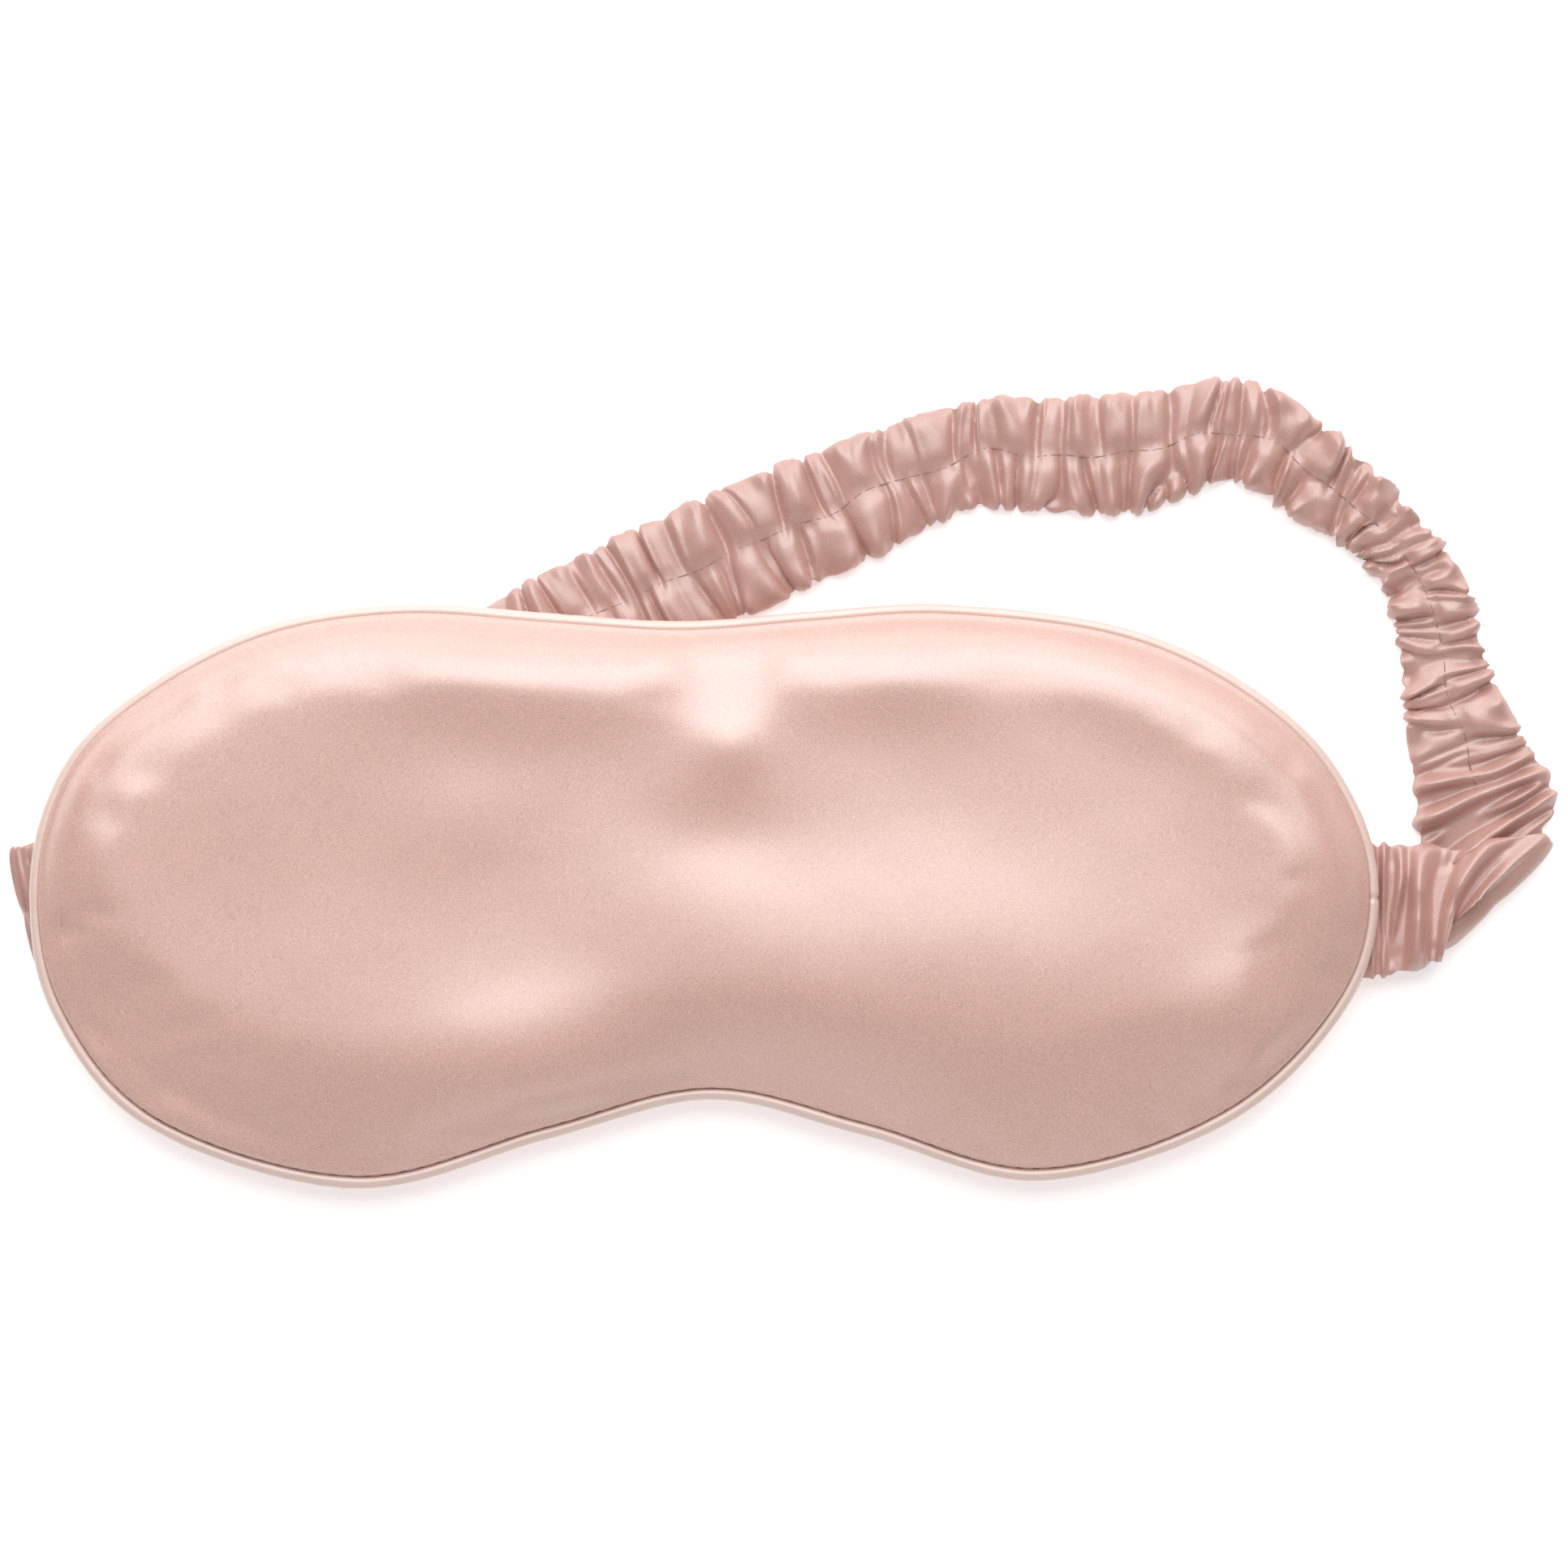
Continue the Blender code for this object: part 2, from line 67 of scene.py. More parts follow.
# Piping; its unevenness is given as (seed, wavelength, size)
PIPING_RADIUS = 1.02
PIPING_POINTS = 960
PIPING_SIDES = 20
PIPING_SWELLS = ((51, 14, 0.025), (52, 3, 0.012))  # of its radius, as a share of it
PIPING_WAVES = ((53, 30, 0.06),)  # of its height
PIPING_BUTT = 3.2  # from the outline's start back to where its two ends meet
PIPING_NOTCH = (0.3, 0.22)  # there (depth, half width)

# Gathers that the edge seam pulls in a panel
EDGE_STITCHES = 178
EDGE_STITCH_Z = SEAM_Z + 0.8
EDGE_STITCH_OUT = 0.22  # from the panel's edge ring towards the piping
EDGE_STITCH_RADIUS = 0.13
EDGE_STITCH_STEPS = 10  # of the outline for each stitch
EDGE_STITCH_SPAN = (1, 8)  # the steps that it covers
DIMPLE = (0.05, 0.9, 0.4)  # at each stitch (height, lengths over which it fades and rises)
DIMPLE_WAVE = 40  # wavelength of their unevenness
PUCKER = (0.16, 9, 2.5, 2.2)  # wider ones (height, wavelength along the edge, place, half width)
PUCKER_RISE = (1.2, 1.7)  # both start over this range of height from the seam

# Cloth simulation of the two panels
CLOTH_QUALITY = 8
CLOTH_MASS = 0.001
CLOTH_PRESSURE = 12.0
CLOTH_FRAMES = 20
SLACK = 0.3  # how far inside its modelled height a panel starts
SLACK_REACH = 9.0
SWELL_CAP = 0.3  # the most that any point moves

# Fillings
FILLING_GAP = 1.3  # from a panel's outside to the filling behind it
FILLING_POINTS = 120
FILLING_STEPS = 18
FILLING_INSETS = (5.9, 6.4, 7.4, 9.5, 12.5)
FRONT_FILLING_LOW = 7.45
BACK_FILLING_HIGH = 6.55
BACK_FILLING_LOW = 6.3  # the most that its underside rises
INTERLINING_INSET = 3.4

# Front panel: a roll up from the seam, then soft swells and dents (x, y, half width along x, half
# width along y, turn in degrees, height)
FRONT_EDGE_Z = 8.75
NOSE_ROLL = (0.0, 5.1, 24.0, 2.2)  # (height of the lip over the seam, further rise, its width, power)
FOREHEAD_ROLL = (1.4, 3.4, 10.4, 3.0)
ROLL_Y = (-32.0, 22.0)  # the roll changes from the one to the other over this range
LIP_WIDTH = 0.9
SWELL_FADE = 5  # distance in from the edge over which the swells come in
FRONT_WAVES = ((11, 30, 0.05), (12, 9, 0.012))  # (seed, wavelength, size)
FRONT_SWELLS = [
    (30, -11, 34, 12.5, -3, 2.4),
    (-27, -28, 15, 8.5, 4, 2.9),
    (-78, -38, 24, 22, 0, -1.4),
    (-24, 33, 15, 5.5, 3, 1.3),
    (-41, 35, 9, 4, 0, 0.7),
    (31, 34, 11, 4.5, 0, 1.1),
    (-66, 3, 26, 12, 0, -0.75),
    (-38, 12, 9, 6, 20, 0.6),
    (4.3, 34, 4.0, 7, 0, -1.1),
    (4.6, 23.0, 2.3, 3.2, 0, 0.85),
    (4.3, 27.5, 3.8, 4.0, 0, 0.7),
    (1.5, 21.5, 6.5, 5.5, 0, 0.75),
    (-7, 35.5, 4, 4.5, 0, 0.35),
    (14, 35, 4, 4.5, 0, 0.35),
    (10, 9, 12, 6, 0, -0.25),
    (3, 9.5, 7, 4.5, 0, -0.4),
    (-8, -18, 10, 9, -10, -0.35),
    (68, 32, 12, 4.5, -25, 0.9),
    (72, 4, 20, 16, 0, 0.25),
    (86, -21.5, 8, 7.5, 0, 2.1),
    (84, 22, 7, 9, 0, 0.9),
    (96.5, 5, 6, 10, 0, 1.0),
    (-97, 6, 8, 11, 0, 0.7),
    (-0.8, 37.6, 1.5, 3.0, 14, -0.6),
    (9.8, 37.8, 1.6, 3.0, -20, -0.55),
    (4.5, 39, 1.5, 3.0, 0, 0.3),
    (-14, 36.5, 2.2, 2.6, 30, -0.25),
    (21, 37, 2.4, 2.8, -30, -0.25),
]

# Back panel
BACK_EDGE_Z = 5.25
BACK_REST_Z = 0.22
BACK_ROLL_LENGTH = 4.2
BACK_WAVE = (31, 18)  # (seed, wavelength)
BACK_WAVE_SIZE = 0.05
BACK_WAVE_RISE = (0.6, 2)  # heights over which it comes in
CHANNEL_START = (-103.6, -2.6)  # the strap runs under the mask along this line
CHANNEL_END = (-6.3, 47.6)
CHANNEL_HALF_WIDTH = 13.0
CHANNEL_FADE = 8.0
CHANNEL_LOW = 2.4
CHANNEL_HIGH = 4.9
CHANNEL_RISE_X = (-99.0, -86.0)
ROOT_DROP = 2.7  # of the back panel over the strap's two roots
ROOT_DROP_X = (87.0, 98.0)
ROOT_DROP_Y = (-14.5, 10.5)
ROOT_DROP_FADE = 5
ROOT_DROP_REACH = 4.5

# Strap: outer edge (x, y), inner edge (x, y), height of the two edges, half thickness, depth of
# the gathers, spacing of the gathers
STRAP_Z = 1.55
LEFT_TAB = [
    ((-95.3, 7.6), (-95.3, -12.4), 4.55, 4.55, 0.85, 0.3, 4.5),
    ((-101.0, 7.8), (-99.2, -12.8), 4.6, 4.6, 0.95, 0.5, 3.2),
]
LEFT_FOLD = ((-106.3, 8.0), (-101.2, -13.4), 4.6, 4.6, 0.95, 0.55, 2.6)
LEFT_RUN = [
    ((-98.5, 12.3), (-92.5, -7.2), 0.95, 0.95, 0.85, 0.35, 4.5),
    ((-90.0, 15.9), (-83.5, -1.2), 1.15, 1.15, 1.0, 0.4, 5.0),
    ((-80.0, 21.0), (-72.5, 4.8), STRAP_Z, STRAP_Z, 1.1, 0.5, 5.0),
    ((-65.5, 28.4), (-57.5, 12.0), STRAP_Z, STRAP_Z, 1.15, 0.55, 5.0),
    ((-52.5, 35.2), (-43.5, 19.4), STRAP_Z, STRAP_Z, 1.15, 0.6, 5.0),
    ((-38.5, 43.0), (-29.3, 26.2), STRAP_Z, STRAP_Z, 1.2, 0.7, 4.6),
]
LOOP = [
    ((-25.5, 50.2), (-16.2, 33.2), STRAP_Z, STRAP_Z, 1.25, 0.85, 4.2),
    ((-14.7, 55.6), (-5.8, 38.6), STRAP_Z, STRAP_Z, 1.3, 1.0, 4.4),
    ((-4.5, 60.2), (3.8, 42.8), 1.7, 1.7, 1.35, 1.1, 5.4),
    ((4.3, 63.9), (12.6, 46.6), 1.8, 1.8, 1.35, 1.1, 6.2),
    ((13.3, 67.7), (20.6, 50.4), 1.8, 1.8, 1.35, 1.05, 6.6),
    ((22.8, 71.3), (28.8, 54.2), 1.7, 1.7, 1.35, 1.05, 6.6),
    ((32.5, 74.6), (36.2, 58.2), STRAP_Z, STRAP_Z, 1.35, 1.05, 6.6),
    ((41.5, 77.4), (42.6, 60.5), STRAP_Z, STRAP_Z, 1.35, 1.05, 6.8),
    ((51.0, 77.8), (51.3, 60.4), STRAP_Z, STRAP_Z, 1.35, 1.0, 7.0),
    ((60.5, 78.0), (60.5, 59.8), STRAP_Z, STRAP_Z, 1.35, 1.05, 6.8),
    ((69.0, 78.6), (68.5, 60.4), STRAP_Z, STRAP_Z, 1.35, 1.1, 6.2),
    ((77.5, 80.4), (75.8, 63.0), 1.8, 1.7, 1.35, 1.1, 5.0),
    ((85.5, 80.5), (81.8, 65.0), 2.2, 1.8, 1.35, 1.2, 4.6),
    ((92.5, 77.2), (86.8, 63.4), 2.8, 1.8, 1.35, 1.25, 4.6),
    ((98.6, 72.3), (91.8, 59.8), 3.2, 1.8, 1.35, 1.3, 4.6),
    ((105.0, 66.8), (97.8, 56.3), 3.6, 1.9, 1.4, 1.3, 4.4),
    ((111.2, 60.2), (101.8, 53.4), 3.7, 1.9, 1.4, 1.3, 4.2),
    ((116.8, 53.4), (105.4, 49.2), 3.4, 1.9, 1.4, 1.25, 4.0),
]
RIGHT_RUN = [
    ((120.4, 46.4), (107.6, 44.6), 2.9, 1.8, 1.4, 1.2, 4.0),
    ((122.2, 39.4), (108.6, 37.0), 2.4, 1.7, 1.35, 1.15, 3.8),
    ((124.6, 31.6), (109.8, 27.8), 2.0, 1.6, 1.35, 1.1, 3.8),
    ((128.6, 24.4), (111.0, 18.6), 1.7, 1.5, 1.3, 1.15, 3.4),
    ((132.6, 18.0), (112.0, 9.4), 1.5, 1.5, 1.15, 0.8, 3.6),
    ((133.3, 13.2), (112.9, 1.2), 1.35, 1.35, 1.1, 0.6, 3.6),
]
RIGHT_FOLD = ((131.6, 9.6), (114.2, -7.0), 4.9, 4.9, 1.15, 0.4, 4.5)
RIGHT_TAB = [
    ((119.0, 7.7), (115.2, -9.8), 4.6, 6.2, 1.25, 0.25, 5.0),
    ((112.4, 7.9), (110.9, -11.3), 4.0, 6.0, 1.1, 0.2, 5.0),
    ((105.8, 8.1), (105.5, -12.6), 4.4, 5.0, 0.95, 0.2, 5.0),
    ((95.3, 8.2), (95.3, -12.5), 4.55, 4.55, 0.85, 0.2, 5.0),
]
FOLD_STEPS = 6
LEFT_FOLD_UNDER = (0.95, 0.85)  # (height, half thickness) of the lower layer at each fold
RIGHT_FOLD_UNDER = (1.3, 1.1)
ROOT_FOLDS = [  # (distance from the strap's end, half width, height, lean towards the inner edge)
    (10.1, 0.4, -1.3, 0.0), (10.95, 0.4, 1.3, 0.1), (12.9, 0.7, 2.0, 0.35), (17.0, 1.8, 2.6, 0.5),
    (19.9, 0.5, -1.8, 0.9), (22.4, 1.5, 2.8, 0.7), (27.0, 0.9, 1.2, 1.4), (42.2, 1.4, 2.2, 1.8),
    (46.0, 0.8, 1.5, 0.9), (48.8, 1.3, 2.2, 0.6), (52.4, 0.9, 1.4, -0.5),
]
ROOT_FOLD_SEEDS = (81, 101)  # the first of those for their bends and for their fading
ROOT_FOLD_BEND = (0.5, 1.9)  # (share of its half width, wavelength)
ROOT_FOLD_FADE = (0.45, 1.6)  # (share of its height, wavelength)
ROOT_FOLD_SIDES = (0.45, 1.9)  # dips beside a fold (share of its height, distance in half widths)
ROOT_PUSH = 0.3  # how much of a fold's height moves the strap's edge outwards
ROOT_PUSH_RANGE = (-1.5, 3.0)
CALM = (58.0, 52.0)  # distances from the strap's end over which its random gathers fade
CALM_SHARE = 0.75

# Random gathers of the casing. A crease drifts from the middle row to the edge by fields given as
# (seed, wavelength, size), the second of which grows with the square of the distance
CREASE_SEEDS = (7, 19)  # of the half towards the outer edge and of the other
NUB_SEEDS = (31, 47)
NUB_SCALE = 0.5
THROUGH_SEED = 5
THROUGH_SCALE = 1.5
FIRST_CREASE = (1, 5)  # how far before the strap's start
CREASES_BEYOND = 8  # how far they go on past its end
CREASE_SPACINGS = (0.55, 0.8, 1.0, 1.25, 1.5)
SPACING_SPREAD = (0.9, 1.1)
OUTER_DRIFT = ((61, 16, 1.5), (62, 11, 1.3))
INNER_DRIFT = ((63, 14, 1.4), (64, 12, -1.2))
UNDER_DRIFT = (65, 9, 0.8)
NUB_DRIFT = 1.3  # shares of that drift
THROUGH_DRIFT = 0.7
CREASE_SHARE = 0.9  # how much of the height comes from each kind of fold
THROUGH_SHARE = 0.4
NUB_SHARE = 0.2
NUB_PUSH = 0.25
NUB_REACH = (0.35, 0.9)  # shares of the half width over which the small folds come in
NUB_MIDDLE = 0.22  # half width of those at the middle row
MIDDLE_HEIGHT = 0.4  # share of the gathers' height left there
MIDDLE_REACH = (0.02, 0.3)
MIDDLE_BLEND = 0.06
FULL_FOLD = 5.5  # width at which a fold has its full height
FOLD_RANGE = (0.35, 1.25)
FOLD_BASE = 0.45
TILT_POWER = 0.3
GROOVE = (1.4, 0.42)  # (depth, half width) at a crease
RIDGE = (0.6, 0.38, 0.8)  # (height, half width, distance from the crease) beside it
GATHER_HEIGHT = 1.45  # shares of the gathers' depth that go up, out at the edge and along the strap
GATHER_PUSH = 0.8
GATHER_LEAN = 0.8
PUSH_RANGE = (-0.9, 1.0)
PUSH_REACH = (0.4, 1.0)
MIDDLE_PINCH = (0.25, 0.07)  # (share, half width) of the row of stitches
SWAY = (72, 15)  # (seed, wavelength)
SWAY_SIZE = 0.05
EDGE_ROLL = (73, 6)
EDGE_ROLL_SIZE = 0.5
EDGE_ROLL_REACH = (0.5, 1.0)

# Casing, elastic, stitches and tacks
STRAP_SAMPLE = 0.15  # along the strap's path
STRAP_STEP = 0.34
STRAP_SIDE_POINTS = 30  # across each face
STRAP_SIDE_SPREAD = 0.75  # under 1, so that they are closer at the edges
CASING_FLOOR = 0.1  # its lowest height
SECTION_POWER = 5  # of the casing's rounded section: how square it is, and how blunt its edges are
SECTION_BLUNTNESS = 0.55
RIM_POWER = 10  # higher keeps the gathers deep closer to the edges
CASING_RIM = 0.18  # least half thickness of the rounded casing outside the elastic
CASING_LEAST = 0.5  # half thickness over the elastic, at the bottom of a crease
CASING_LEAST_FADE = 0.2  # share of the half width over which that ends
CASING_WIDTH = 20.0  # of the tube pressed flat
ELASTIC_SHARE = 0.6  # of the strap's width. The tape still comes through the casing at tight folds
ELASTIC_HALF = 0.28  # half thickness, and the share of it in the dips between its ribs
ELASTIC_DIP = 0.8
ELASTIC_RIBS = 13
ELASTIC_STEP = 2.0
STITCH_SIDES = 6
STITCH_PROFILE = ((-0.02, 0.35), (0.08, 0.85), (0.5, 1.0), (0.92, 0.85), (1.02, 0.35))  # (place, size)
STITCH_PITCH = 2.3
STITCH_LENGTH = 1.6
STITCH_RADIUS = 0.1
STITCH_LIFT = 0.3  # of its middle line off the casing, as a share of its radius
STITCH_UNDER_RISE = 0.25  # of those on the underside, off the surface that the strap lies on
STITCH_START = (-80, 1.3)  # (most x, most z) of the path before the row starts, past the left root
STITCH_END = (110, 9.5)  # (least x, least y) of the path beside the right root
STITCH_END_GAP = 6
TACK_X = 96.3
TACK_Y = -8.3
TACK_Z = 6.0
TACK_LENGTH = 12.0
TACK_STEPS = 24
TACK_HALF_WIDTH = 0.5
TACK_RADIUS = 0.16
TACK_SIDES = 6

# Cloths: colour (linear RGB), roughness, size of the grain in metres, its contrast and its relief
CLOTHS = {
    # The panel and the strap are one satin: the panel's colour is painted lighter than the strap's, a
    # painted sheen
    "panel_satin": ((0.67, 0.40, 0.338), 0.34, 0.00014, 0.28, 0.35),
    # The strap's colour is painted darker than the panel's, painted shade for its ruffled, self-shadowed
    # gathers
    "strap_satin": ((0.53, 0.292, 0.246), 0.41, 0.00014, 0.13, 0.2),
    "piping_satin": ((0.76, 0.555, 0.485), 0.42, 0.0003, 0.04, 0.25),
    "sewing_thread": ((0.38, 0.2, 0.17), 0.6, 0.0002, 0.1, 0.5),
    "edge_thread": ((0.66, 0.44, 0.38), 0.6, 0.0002, 0.1, 0.5),
    "wadding_fibre": ((0.86, 0.84, 0.80), 0.95, 0.002, 0.05, 1.0),
    "blackout_weave": ((0.03, 0.03, 0.035), 0.9, 0.0005, 0.15, 0.6),
    "elastic_web": ((0.80, 0.78, 0.74), 0.8, 0.0008, 0.08, 0.8),
}
SATIN_GLOSS = {"IOR": 1.9, "Specular_IOR_Level": 0.75, "Sheen_Weight": 0.12, "Sheen_Roughness": 0.4}
STRAP_GLOSS = {"IOR": 1.8, "Specular_IOR_Level": 0.75, "Sheen_Weight": 0.15, "Sheen_Roughness": 0.4}

# Weave; lengths in metres
TWILL_ANGLE = 52.0
TWILL_STRETCH = 2.6
TWILL_PITCH = 0.00032
TWILL_SHARE = 0.09
TWILL_DISTORTION = 1.2
WAVE_RADIANS = 20  # that a wave texture has to a metre at a scale of 1
SPARKLE_RATE = 1.6  # against the grain
SPARKLE_SHARE = 0.45
GRAIN_RANGE = (0.35, 0.65)
CLOUD_SCALE = 45.0
CLOUD_RANGE = (0.3, 0.7)
CLOUD_CONTRAST = 0.025
ROUGHNESS_SPREAD = 0.05
RELIEF = 0.00006

# Picture
PICTURE_CENTRE = (12.64, 17.51)
PICTURE_WIDTH = 244.3
CAMERA_HEIGHT = 1200.0
SENSOR_WIDTH = 36.0
CLIP_END = 100
FLOOR_HALF_WIDTH = 3000.0
FLOOR = (0.93, 0.93, 0.93)
FLOOR_ROUGHNESS = 0.9
FLOOR_SPECULAR = 0.1
FLOOR_EMISSION = 0.4
WORLD = (1, 0.99, 0.985)
WORLD_STRENGTH = 0.31
LAMP_AIM = (0.01, 0.01, 0)  # in metres, like the places and sizes below
LAMPS = (  # (name, place, size, radiance)
    ("high_softbox", (0.0, 0.66, 1.24), (1.3, 0.9), 3.45),
    ("low_softbox", (0.0, 1.28, 0.58), (2.8, 0.95), 1.9),
    ("near_fill", (0.0, -1.3, 0.7), (1.8, 0.9), 0.75),
)


def smooth(value, low, high):
    """0 below low, 1 above high, with a smooth step between."""
    t = np.clip((value - low) / (high - low), 0, 1)
    return t * t * (3 - 2 * t)


def mix(a, b, t):
    return a + (b - a) * t


def bell(distance, half_width=1):
    """1 at no distance, and about a third at half_width."""
    return np.exp(-((distance / half_width) ** 2))


def closed_curve(points, count):
    """count points evenly spaced along the closed Catmull-Rom curve through points."""
    knots = np.array(points, float)
    t = np.linspace(0, 1, CURVE_SAMPLES, endpoint=False)[:, None]
    pieces = []
    for i, p1 in enumerate(knots):
        p0 = knots[i - 1]
        p2 = knots[(i + 1) % len(knots)]
        p3 = knots[(i + 2) % len(knots)]
        pieces.append(
            p1
            + (p2 - p0) * (t / 2)
            + (2 * p0 - 5 * p1 + 4 * p2 - p3) * (t**2 / 2)
            + (3 * p1 - p0 - 3 * p2 + p3) * (t**3 / 2)
        )
    fine = np.vstack([*pieces, pieces[0][:1]])
    length = np.concatenate([[0], np.cumsum(np.linalg.norm(np.diff(fine, axis=0), axis=1))])
    want = np.linspace(0, length[-1], count, endpoint=False)
    return np.stack([np.interp(want, length, fine[:, k]) for k in range(2)], axis=1)


def inset(ring, distance):
    """The closed ring moved inwards along its normals."""
    along = np.roll(ring, -1, axis=0) - np.roll(ring, 1, axis=0)
    along /= np.linalg.norm(along, axis=1)[:, None]
    return ring + np.stack([-along[:, 1], along[:, 0]], axis=1) * distance


FINE_OUTLINE = closed_curve(OUTLINE, FINE_POINTS)
OUTLINE_LENGTH = np.linalg.norm(FINE_OUTLINE - np.roll(FINE_OUTLINE, 1, axis=0), axis=1).sum()
EDGE_STITCH_PITCH = OUTLINE_LENGTH / EDGE_STITCHES


def from_edge(x, y):
    """(distance in from the outline, distance along it) at each place."""
    away = np.empty(len(x))
    where = np.empty(len(x))
    for start in range(0, len(x), BLOCK):
        part = slice(start, start + BLOCK)
        gap = (x[part, None] - FINE_OUTLINE[:, 0]) ** 2 + (y[part, None] - FINE_OUTLINE[:, 1]) ** 2
        nearest = gap.argmin(axis=1)
        away[part] = np.sqrt(gap[np.arange(len(nearest)), nearest])
        where[part] = nearest * OUTLINE_LENGTH / FINE_POINTS
    return away, where


def wander(seed, wavelength, *axes):
    """A smooth field of size about 1, random but the same each run, over one or more axes."""
    rng = np.random.default_rng(seed)
    total = 0
    for _ in range(WAVES):
        way = rng.normal(size=len(axes))
        way /= np.linalg.norm(way)
        rate = 2 * math.pi / (wavelength * rng.uniform(*WAVE_SPREAD))
        total = total + np.sin(rate * sum(w * a for w, a in zip(way, axes)) + rng.uniform(0, 2 * math.pi))
    return total / WAVE_SCALE


def uneven(start, fields, *axes):
    """start with random fields, each given as (seed, wavelength, size), added to it."""
    return sum((size * wander(seed, wavelength, *axes) for seed, wavelength, size in fields), start)


def round_trip(along):
    """Two axes for a place along the closed outline, so that a field on them has no jump."""
    turn = along * 2 * math.pi / OUTLINE_LENGTH
    radius = OUTLINE_LENGTH / (2 * math.pi)
    return radius * np.cos(turn), radius * np.sin(turn)


def swell(x, y, centre_x, centre_y, half_x, half_y, turn, height):
    """A soft oval rise."""
    c = math.cos(math.radians(turn))
    s = math.sin(math.radians(turn))
    u = ((x - centre_x) * c + (y - centre_y) * s) / half_x
    v = ((y - centre_y) * c - (x - centre_x) * s) / half_y
    return height * np.exp(-(u * u + v * v) / 2)


def seam_puckers(away, along, seed):
    """Small gathers that the edge seam pulls in the panel beside it."""
    deep = np.clip(away - EDGE_INSETS[0], 0, None)
    around = round_trip(along)
    stitch = np.sin(along * 2 * math.pi / EDGE_STITCH_PITCH + wander(seed, DIMPLE_WAVE, *around))
    height, fade, rise = DIMPLE
    fine = height * stitch * np.exp(-deep / fade) * smooth(deep, 0, rise)
    height, wavelength, place, half_width = PUCKER
    broad = height * wander(seed + 1, wavelength, *around) * bell(deep - place, half_width)
    return fine + broad


def front_height(x, y, away, along):
    """Height of the front panel at places this far in from the outline and along it."""
    deep = np.clip(away - EDGE_INSETS[0], 0, None)
    share = smooth(y, *ROLL_Y)
    lip, rise, width, power = (mix(a, b, share) for a, b in zip(NOSE_ROLL, FOREHEAD_ROLL))
    left = np.clip(1 - deep / width, 0, 1)
    z = FRONT_EDGE_Z + lip * (1 - np.exp(-deep / LIP_WIDTH)) + rise * (1 - left**power)
    bumps = sum(swell(x, y, *row) for row in FRONT_SWELLS)
    return z + uneven(bumps, FRONT_WAVES, x, y) * smooth(deep, 0, SWELL_FADE)


def channel(x, y):
    """(height of the back panel over the strap, how much of it applies)."""
    start = np.array(CHANNEL_START)
    way = np.array(CHANNEL_END) - start
    way /= np.linalg.norm(way)
    away = np.abs(way[0] * (y - start[1]) - way[1] * (x - start[0]))
    share = 1 - smooth(away, CHANNEL_HALF_WIDTH, CHANNEL_HALF_WIDTH + CHANNEL_FADE)
    return mix(CHANNEL_LOW, CHANNEL_HIGH, smooth(x, *CHANNEL_RISE_X)), share


def back_height(x, y, away, along):
    """Height of the back panel, which rests on the surface and on the strap under it."""
    deep = np.clip(away - EDGE_INSETS[0], 0, None)
    z = mix(BACK_REST_Z, BACK_EDGE_Z, np.exp(-deep / BACK_ROLL_LENGTH))
    low, high = ROOT_DROP_Y
    root = smooth(np.abs(x), *ROOT_DROP_X) * smooth(y, low - ROOT_DROP_FADE, low)
    root = root * (1 - smooth(y, high, high + ROOT_DROP_FADE))
    z = z - ROOT_DROP * root * bell(deep, ROOT_DROP_REACH)
    raised, share = channel(x, y)
    z = mix(z, np.maximum(z, raised), share)
    z = z + BACK_WAVE_SIZE * wander(*BACK_WAVE, x, y) * smooth(z, *BACK_WAVE_RISE)
    return np.maximum(z, BACK_REST_Z)


def panel_plan(outline, cross_steps, insets):
    """Points and faces of a flat panel: rings beside the seam, then strips from edge to edge."""
    ring_points = len(outline)
    rings = [inset(outline, d) for d in insets]
    points = [tuple(p) for ring in rings for p in ring]
    faces = []
    for r in range(len(rings) - 1):
        for i in range(ring_points):
            j = (i + 1) % ring_points
            faces.append((r * ring_points + i, r * ring_points + j,
                          (r + 1) * ring_points + j, (r + 1) * ring_points + i))
    first = (len(rings) - 1) * ring_points
    inner = rings[-1]
    half = ring_points // 2
    columns = [[first]]
    for k in range(1, half):
        top = inner[k]
        bottom = inner[ring_points - k]
        column = [first + k]
        for m in range(1, cross_steps):
            column.append(len(points))
            points.append(tuple(mix(top, bottom, m / cross_steps)))
        column.append(first + ring_points - k)
        columns.append(column)
    columns.append([first + half])
    for a, b in zip(columns[1:-1], columns[2:-1]):
        for m in range(cross_steps):
            faces.append((a[m], b[m], b[m + 1], a[m + 1]))
    for tip, column, turned in ((columns[0][0], columns[1], False), (columns[-1][0], columns[-2], True)):
        for m in range(cross_steps):
            face = (tip, column[m], column[m + 1])
            faces.append(face[::-1] if turned else face)
    return np.array(points), faces


def new_object(name, vertices, faces, material=None):
    """A mesh object from points in millimetres."""
    mesh = bpy.data.meshes.new(name)
    mesh.from_pydata([tuple(v) for v in np.asarray(vertices) * MM], [], faces)
    mesh.validate()
    mesh.polygons.foreach_set("use_smooth", [True] * len(mesh.polygons))
    obj = bpy.data.objects.new(name, mesh)
    bpy.context.scene.collection.objects.link(obj)
    if material:
        mesh.materials.append(material)
    return obj


def apply_modifiers(obj):
    depsgraph = bpy.context.evaluated_depsgraph_get()
    mesh = bpy.data.meshes.new_from_object(obj.evaluated_get(depsgraph))
    mesh.name = obj.name
    obj.modifiers.clear()
    obj.data = mesh
    return obj


def fix_normals(obj):
    bm = bmesh.new()
    bm.from_mesh(obj.data)
    bmesh.ops.recalc_face_normals(bm, faces=bm.faces)
    bm.to_mesh(obj.data)
    bm.free()


def coordinates(obj):
    co = np.empty(len(obj.data.vertices) * 3)
    obj.data.vertices.foreach_get("co", co)
    return co.reshape(-1, 3) / MM


def set_coordinates(obj, co):
    obj.data.vertices.foreach_set("co", (np.asarray(co) * MM).ravel())
    obj.data.update()


